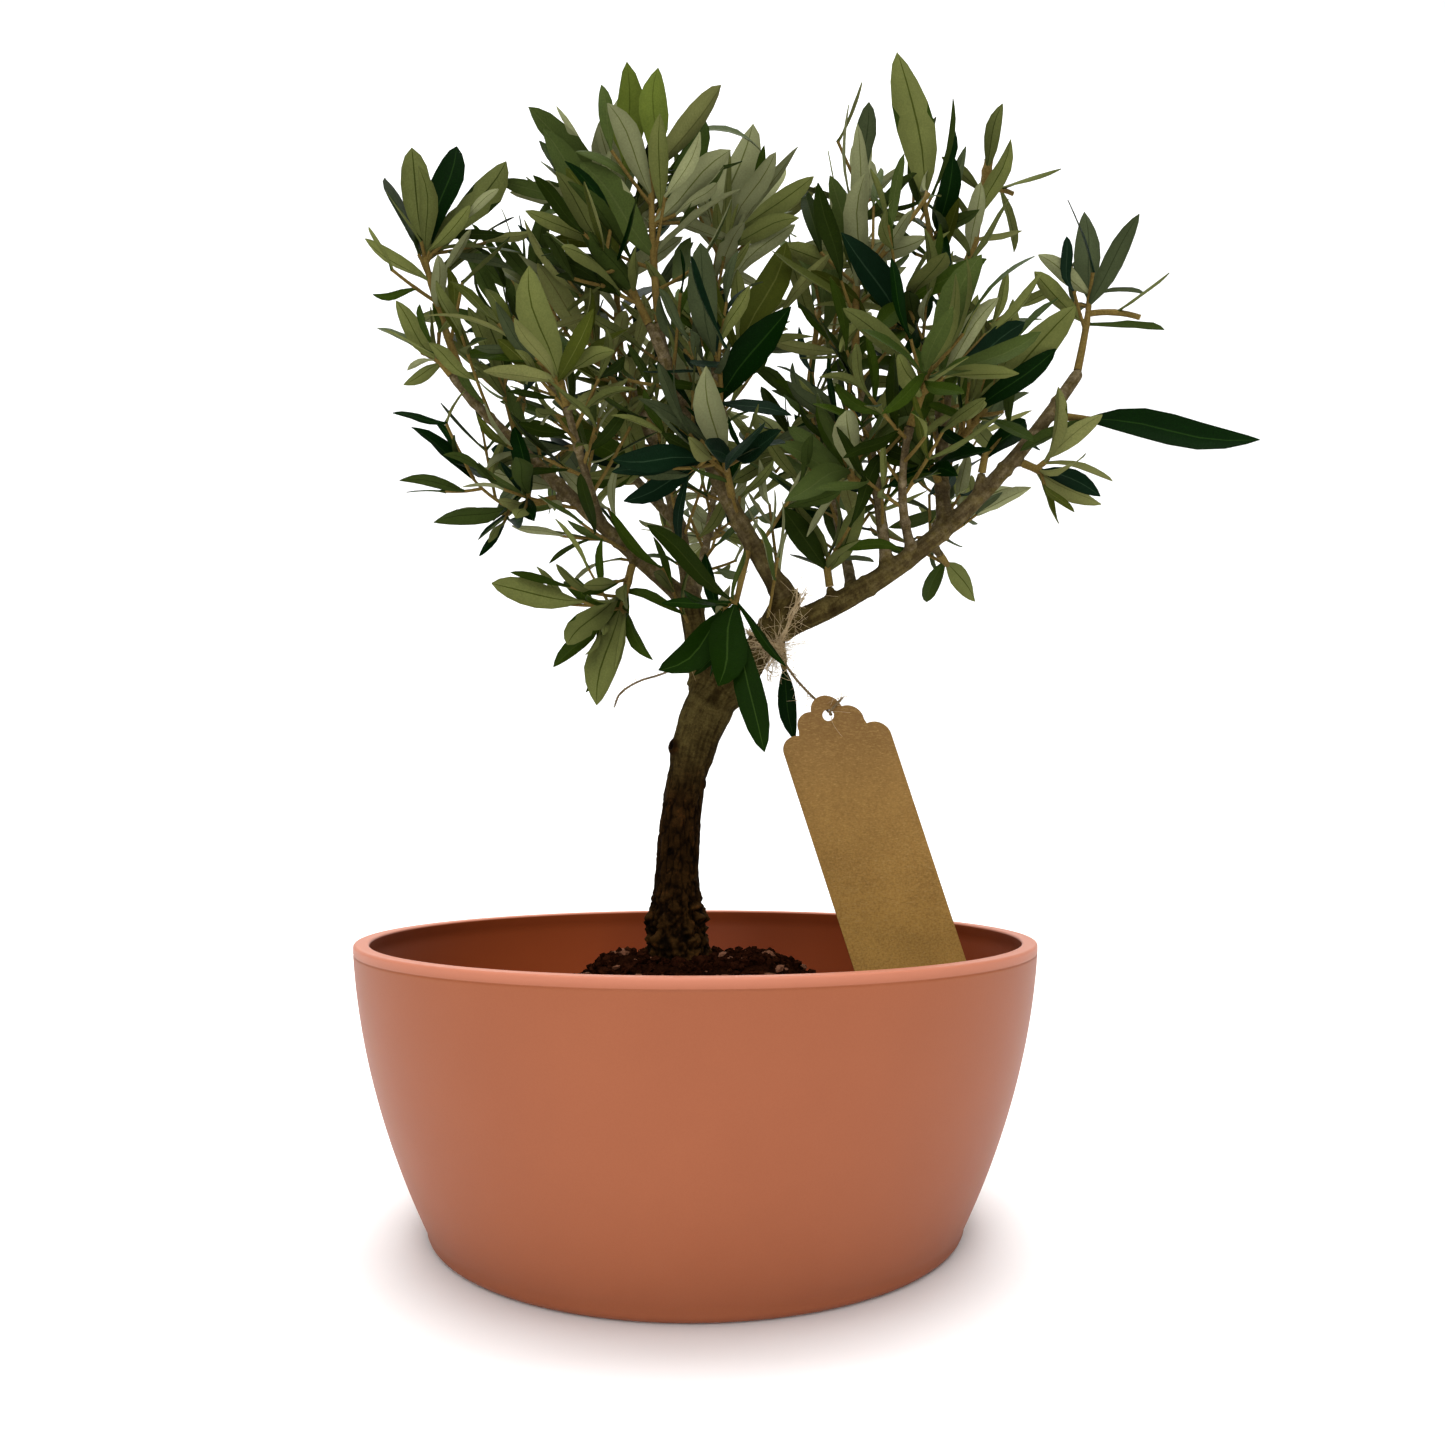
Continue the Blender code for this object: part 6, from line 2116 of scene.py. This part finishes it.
@dataclass(frozen=True)
class KraftFinish(Finish):
    """Kraft card: mottled, paler towards its foot as painted light against the bowl's shade, with short fibres that lie
    every way, some paler and some darker.
    """

    fibre: Colour = linear(170, 138, 86)
    # Painted light: the paler colour that the card takes at its foot, to lift the shade that the bowl casts on its
    # lower part.
    foot: Colour = linear(192, 149, 78)

    def surface(self, wiring: Wiring) -> tuple[bpy.types.NodeSocket, bpy.types.NodeSocket]:
        """The mottle, whose colour goes by low to the paler foot colour as painted light, and over it thin stretched
        flecks in two directions. Low is 0 at the head.

        Args:
            wiring: the wiring of the finish's node tree.

        Returns:
            The colour and the height.
        """
        low = wiring.value("low")
        mottle = self.mottle(wiring, wiring.blend(low, self.colour, self.foot), self.second)
        place = wiring.place()
        colour = mottle.outputs["Colour"]
        for turn, second in ((0.5, self.fibre), (-0.9, self.second), (1.4, self.fibre)):
            laid = wiring.add("Mapping", Vector=place, Rotation=(0.0, turn, 0.0), Scale=(700.0, 1000.0, 2400.0))
            flecks = wiring.add("TexNoise", Vector=laid.outputs[0], Scale=1.0, Detail=2.0)
            share = wiring.math("MULTIPLY", wiring.band(flecks.outputs[0], 0.56, 0.74), 0.4)
            colour = wiring.blend(share, colour, second)
        return colour, mottle.outputs["Height"]


@dataclass
class GiftTag:
    """A bare card with a scalloped head and an eye, leaning in the bowl.

    Attributes:
        width, thickness: of the card.
        foot: height at which it is cut off level, just above the soil.
        eye, eye_radius, eye_drop: the hole's middle, its radius, and how far it is below the top edge.
        slant, recline: how far its foot swings to the right, and stands behind its head.
        lobes: middle, drop and radius in mm and the angles of each round of its head.
        skew: how much lower the lobes stand for each step to the right.
        edge: radius to which wear has rounded its edges.
    """

    width: float = 39.4 * MM
    thickness: float = 0.8 * MM
    foot: float = 74.8 * MM
    eye: tuple[float, float, float] = (48.5 * MM, -21.0 * MM, 184.2 * MM)
    eye_radius: float = 2.1 * MM
    eye_drop: float = 7.6 * MM
    slant: float = math.radians(17.5)
    recline: float = math.radians(-1.0)
    lobes: tuple[tuple[float, float, float, float, float], ...] = (
        (-14.3, 18.6, 5.7, 180, 73), (-6.7, 10.6, 5.5, 188, 80), (0.0, 5.7, 5.7, 165, 15), (6.7, 10.6, 5.5, 100, -8),
        (14.3, 18.6, 5.7, 107, 0))
    skew: float = 0.12
    edge: float = 0.14 * MM

    def outline(self) -> Array:
        """The card's outline: a level foot, straight sides and round lobes, as (x, y) rows."""
        half = self.width / 2
        below = (self.eye[2] - self.foot) / math.cos(self.slant) + self.eye_drop
        rows = [np.array([[-half, half * math.tan(self.slant) - below]])]
        for x, drop, radius, first, last in self.lobes:
            angles = np.radians(np.linspace(first, last, 14))
            along = x + radius * np.cos(angles)
            rows.append(np.stack([along, radius * np.sin(angles) - drop - along * self.skew], -1) * MM)
        rows.append(np.array([[half, -half * math.tan(self.slant) - below]]))
        return np.concatenate(rows)

    def place(self) -> Matrix:
        """Carries the flat card, whose head is at its own origin, to its place in the bowl."""
        turn = Matrix.Rotation(-self.slant, 4, "Y") @ Matrix.Rotation(self.recline, 4, "X")
        stand = Matrix.Rotation(math.pi / 2, 4, "X")
        return Matrix.Translation(self.eye) @ turn @ stand @ Matrix.Translation((0.0, self.eye_drop, 0.0))

    def piece(self) -> bpy.types.Object:
        """The finished card: a flat outline with a hole, made a solid mesh with edges rounded by wear, then put in its
        place.
        """
        curve = bpy.data.curves.new("card", "CURVE")
        curve.dimensions, curve.fill_mode = "2D", "BOTH"
        curve.extrude, curve.bevel_depth, curve.bevel_resolution = self.thickness / 2 - self.edge, self.edge, 2
        curve.offset = -self.edge
        angles = full_turn(40)
        hole = np.stack([self.eye_radius * np.cos(angles), self.eye_radius * np.sin(angles) - self.eye_drop], -1)
        for rows in (self.outline(), hole):
            spline = curve.splines.new("POLY")
            spline.points.add(len(rows) - 1)
            spline.points.foreach_set("co", np.pad(rows, ((0, 0), (0, 2))).ravel())
            spline.points.foreach_set("weight", np.ones(len(rows)))
            spline.use_cyclic_u = True
        mesh = evaluated_mesh(placed("card", curve))
        mesh.transform(self.place())
        heights = read_vectors(mesh.vertices, "co")[:, 2]
        # Low runs from 0 at the eye to 1 at the foot and sets how much painted light the finish adds.
        low = np.clip((self.eye[2] - heights) / (self.eye[2] - self.foot), 0.0, 1.0)
        mesh.attributes.new("low", "FLOAT", "POINT").data.foreach_set("value", low.astype(np.float32))
        finish = KraftFinish("kraft_card", linear(123, 95, 60), linear(106, 79, 46),
                             0.9, 60.0, 1300.0, 0.3, 0.4, 0.06, 0.04)
        mesh.materials.clear()
        mesh.materials.append(finish.material())
        return dress(placed("tag_card", mesh), "kraft", "gift_tag")


RING_STEPS = 24
BARK_RELIEF = 0.72 * 0.3 * MM  # how far the bark stands out under the twine
PLY_SHARE = 0.52  # a ply's radius over the twine's
# Ways of the loose strands in mm from the knot, and how many go each way.
STRANDS = (((10, -3, 21), 10), ((-3, -3, -10), 3), ((-14, -3, 2), 3))
STRAND_SHARES = (0.3, 0.65, 1.0)
STRAND_STRAY = (0.8, 1.8, 3.0)  # in mm at each share
# In mm from the knot.
TWINE_TAIL = ((0, 0, 0), (-19, -4, -0.5), (-42, -6, -10), (-51, -6.5, -13), (-58, -7, -17.5), (-60.5, -7, -23))


@dataclass
class Twine:
    """Jute twine of three plies: a turn round the right limb, a knot, a lead through the tag's eye and two loose ends.

    Attributes:
        limb: what it is wound round.
        tag: what hangs from it.
        radius: of the twine.
        station: share of the limb at which it is wound.
        knot_radius: of the knot.
        pitch: length over which the plies turn once.
        hairs: how many loose fibres.
        seed: picks the fibres.
    """

    limb: Limb
    tag: GiftTag
    radius: float = 0.7 * MM
    station: float = 0.65
    knot_radius: float = 2.6 * MM
    pitch: float = 3.4 * MM
    hairs: int = 640
    seed: int = 5

    @staticmethod
    def smooth_path(corners: Sequence[Vector], step: float) -> Array:
        """A smooth line through all corners: a Catmull-Rom curve, sampled at even steps of its length.

        Args:
            corners: what it runs through.
            step: the spacing of its points.

        Returns:
            The points, (n, 3).
        """
        points = np.array(corners, dtype=float)
        points = np.concatenate([2 * points[:1] - points[1:2], points, 2 * points[-1:] - points[-2:-1]])
        t = np.linspace(0.0, 1.0, 24, endpoint=False)[:, None]
        runs = []
        for a, b, c, d in zip(points[:-3], points[1:-2], points[2:-1], points[3:]):
            runs.append(0.5 * (2 * b + (c - a) * t + (2 * a - 5 * b + 4 * c - d) * t**2
                               + (3 * b - a - 3 * c + d) * t**3))
        line = np.concatenate([*runs, points[-2:-1]])
        run = run_along(line)
        even = np.linspace(0.0, run[-1], max(6, int(run[-1] / step)))
        return np.stack([np.interp(even, run, line[:, axis]) for axis in range(3)], -1)

    def plies(self, corners: Sequence[Vector], thin: float = 1.0, finish: int = 0) -> Surface:
        """Three plies round a smooth path: each winds at half the twine's radius, a third of a turn from the next.

        Args:
            corners: what the path runs through.
            thin: share of the twine's usual radius.
            finish: the finish number.

        Returns:
            The closed surface.
        """
        path = self.smooth_path(corners, 0.4 * MM)
        _, side, up = frames_along(path)
        run = run_along(path)
        ends = 1.0 - 0.5 * eased(run[-1] - 3 * MM, run[-1], run)
        parts = []
        for ply in range(3):
            turn = (2 * np.pi * (run / self.pitch + ply / 3))[:, None]
            line = path + (side * np.cos(turn) + up * np.sin(turn)) * self.radius * thin * 0.5
            parts.append(tube(line, self.radius * thin * PLY_SHARE * ends, 7, finish))
        return Surface.joined(parts)

    def fibres(self, path: Array, count: int, rng: np.random.Generator) -> list[Surface]:
        """Loose hairs: thin three-sided tubes that start on the twine and curl away from it.

        Args:
            path: points of the twine.
            count: how many.
            rng: its random draws.

        Returns:
            A tube for each fibre.
        """
        parts = []
        for _ in range(count):
            start = path[rng.integers(len(path))]
            way, curl = unit(rng.normal(size=3)), unit(rng.normal(size=3))
            length = rng.uniform(2.0, 12.0) * MM
            t = np.linspace(0.0, 1.0, 6)[:, None]
            line = start + way * length * t + curl * length * 0.6 * t**2
            parts.append(tube(line, np.linspace(0.12, 0.05, 6) * MM, 3))
        return parts

    def piece(self) -> bpy.types.Object:
        """The finished twine."""
        limb, middle, axis = self.limb, self.limb.point(self.station), self.limb.heading(self.station)
        front = Vector((0.9, -0.8, -0.2)).normalized()
        front = (front - axis * front.dot(axis)).normalized()
        ring_radius = limb.radius(self.station) + self.radius + BARK_RELIEF
        ring = [middle + Matrix.Rotation(2 * math.pi * step / RING_STEPS, 3, axis) @ front * ring_radius
                + axis * self.radius * 3 * (step / RING_STEPS - 0.5) for step in range(RING_STEPS + 1)]
        knot_at = middle + front * (ring_radius + self.knot_radius * 0.4)
        right, up, face = (self.tag.place().to_3x3() @ Vector(row) for row in ((1, 0, 0), (0, 1, 0), (0, 0, 1)))
        clear = face * (self.tag.thickness / 2 + self.radius + 0.3 * MM)
        eye = Vector(self.tag.eye)
        through = eye + (right * 0.9 + up * 1.1) * MM
        lead = [knot_at, knot_at.lerp(eye, 0.45) - UP * 1.5 * MM, through - clear, through + clear,
                eye + right * 7.1 * MM + up * 4.6 * MM + clear]
        tail = [knot_at + Vector(row) * MM for row in TWINE_TAIL]
        rng = np.random.default_rng(self.seed)
        strands = []
        for way, count in STRANDS:
            for _ in range(count):
                stray = [Vector(rng.uniform(-1, 1, 3)) * spread for spread in STRAND_STRAY]
                strands.append([knot_at] + [knot_at + (Vector(way) * share + off) * MM
                                           for share, off in zip(STRAND_SHARES, stray)])
        turns = np.linspace(0.0, 4 * np.pi, 40)
        form = np.stack([np.sin(turns) * 0.75, np.cos(turns) * 0.55, np.sin(turns * 1.5) * 0.6], -1) * self.knot_radius
        knot = [knot_at + Vector(row) for row in form]
        # The lead and the tail take finish 1, a darker copy of the jute as painted shade.
        parts = [self.plies(ring), self.plies(lead, 0.8, 1), self.plies(knot, 1.15), self.plies(tail, 0.65, 1)]
        parts += [self.plies(strand, 0.3) for strand in strands]
        for corners, share in ((ring, 0.25), (lead, 0.1), (knot, 0.35), (tail, 0.05),
                               *((strand, 0.02) for strand in strands)):
            parts += self.fibres(self.smooth_path(corners, MM), int(self.hairs * share), rng)
        finish = Finish("jute_fibre", linear(200, 180, 145), linear(150, 126, 90),
                        0.9, 300.0, 2600.0, 0.5, 0.6, 0.12, 0.05)
        # A darker copy of the jute for the lead and the tail: painted shade.
        shaded_jute = Finish("jute_painted_shade", linear(128, 110, 82), linear(84, 70, 50), 0.9, 300.0, 2600.0, 0.5, 0.6, 0.12, 0.05)
        twine = Surface.joined(parts).as_object("jute_twine", [finish.material(), shaded_jute.material()])
        return dress(twine, "jute", "tag_twine")


# Studio


SKY_STRENGTH = 0.22
SENSOR_WIDTH = 36.0
LAMPS = (  # name, place, what it points at, side in metres and power in watts
    ("key", (-0.1, -1.7, 1.0), (0.0, 0.0, 0.2), 1.3, 20.0),
    ("top", (0.0, -0.1, 2.2), (0.0, 0.0, 0.1), 1.8, 44.0),
    ("backdrop", (0.0, 0.9, 3.2), (0.0, 2.5, 1.0), 3.0, 110.0),
)


@dataclass
class Studio:
    """A pale floor that sweeps up behind, soft light all round, a key light from the left front and the camera.

    Attributes:
        camera_at: where the camera stands.
        pitch: how far it looks up.
        lens: focal length in mm on a 36 mm sensor.
    """

    camera_at: tuple[float, float, float] = (0.0095, -0.437, 0.1435)
    pitch: float = math.radians(5.22)
    lens: float = 28.227

    def floor(self) -> None:
        """The floor: level up to 1.5 m behind the bowl, then a quarter circle of 1 m, then upright."""
        turns = np.linspace(0.0, np.pi / 2, 16)
        y = np.concatenate([[-4.0], 1.5 + np.sin(turns), [2.5]])
        z = np.concatenate([[0.0], 1.0 - np.cos(turns), [5.0]])
        x = np.array([-6.0, 6.0])
        points = np.stack([np.broadcast_to(x, (len(y), 2)), np.repeat(y[:, None], 2, 1),
                           np.repeat(z[:, None], 2, 1)], -1)
        mesh = bpy.data.meshes.new("floor")
        quads = [(2 * i, 2 * i + 1, 2 * i + 3, 2 * i + 2) for i in range(len(y) - 1)]
        mesh.from_pydata(points.reshape(-1, 3).tolist(), [], quads)
        mesh.polygons.foreach_set("use_smooth", np.ones(len(quads), dtype=bool))
        paper = Finish("studio_paper", linear(250, 250, 250), linear(246, 246, 246),
                       0.95, 3.0, 60.0, 0.3, 0.2, 0.01, 0.1)
        mesh.materials.append(paper.material())
        obj = placed("floor", mesh)
        obj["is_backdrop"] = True

    @staticmethod
    def lamp(name: str, at: tuple[float, float, float], aim: tuple[float, float, float],
             size: float, power: float) -> None:
        """A square soft light at a place, aimed at another.

        Args:
            name: of the lamp.
            at: where it hangs.
            aim: where it points.
            size: of its side, in metres.
            power: in watts.
        """
        light = bpy.data.lights.new(name, "AREA")
        light.size, light.energy = size, power
        obj = placed(name, light)
        obj.location = at
        obj.rotation_mode = "QUATERNION"
        obj.rotation_quaternion = (Vector(aim) - Vector(at)).to_track_quat("-Z", "Y")

    def build(self) -> None:
        """Floor, light, camera and the plain look of the picture."""
        self.floor()
        world = bpy.data.worlds.new("studio")
        world.use_nodes = True
        world.node_tree.nodes["Background"].inputs["Color"].default_value = (1.0, 1.0, 1.0, 1.0)
        world.node_tree.nodes["Background"].inputs["Strength"].default_value = SKY_STRENGTH
        scene = bpy.context.scene
        scene.world = world
        scene.view_settings.view_transform = "Standard"
        for lamp in LAMPS:
            self.lamp(*lamp)
        camera = bpy.data.cameras.new("camera")
        camera.lens, camera.sensor_width, camera.clip_start = self.lens, SENSOR_WIDTH, 0.01
        obj = placed("camera", camera)
        obj.location = self.camera_at
        obj.rotation_euler = (math.pi / 2 + self.pitch, 0.0, 0.0)
        scene.camera = obj


def main() -> None:
    """Builds every piece in turn, and keeps the solids' box."""
    logging.basicConfig(level=logging.INFO, format="%(message)s")
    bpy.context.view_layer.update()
    plan = Plan(WOOD, FOLIAGE)
    Bowl().piece()
    Soil().pieces()
    wood = Wood(plan)
    wood.pieces()
    foliage = Foliage(plan, frame["nodes"])
    foliage.fill_crowd()
    for mass in plan.masses:
        solid, added = foliage.grow(mass)
        LOG.info("%s: %d leaves and %d finer ones", mass.name, solid, added)
    for name in ("left_limb", "right_limb", *wood.uppers()):
        LOG.info("%s: %d finer leaves", name, foliage.grow_from(plan.limbs[name]))
    LOG.info("leaves in all: %d", len(foliage.leaves))
    foliage.leaf_pieces()
    foliage.twig_piece()
    tag = GiftTag()
    tag.piece()
    Twine(plan.limbs["right_limb"], tag).piece()
    Studio().build()


if __name__ == "__main__":
    main()
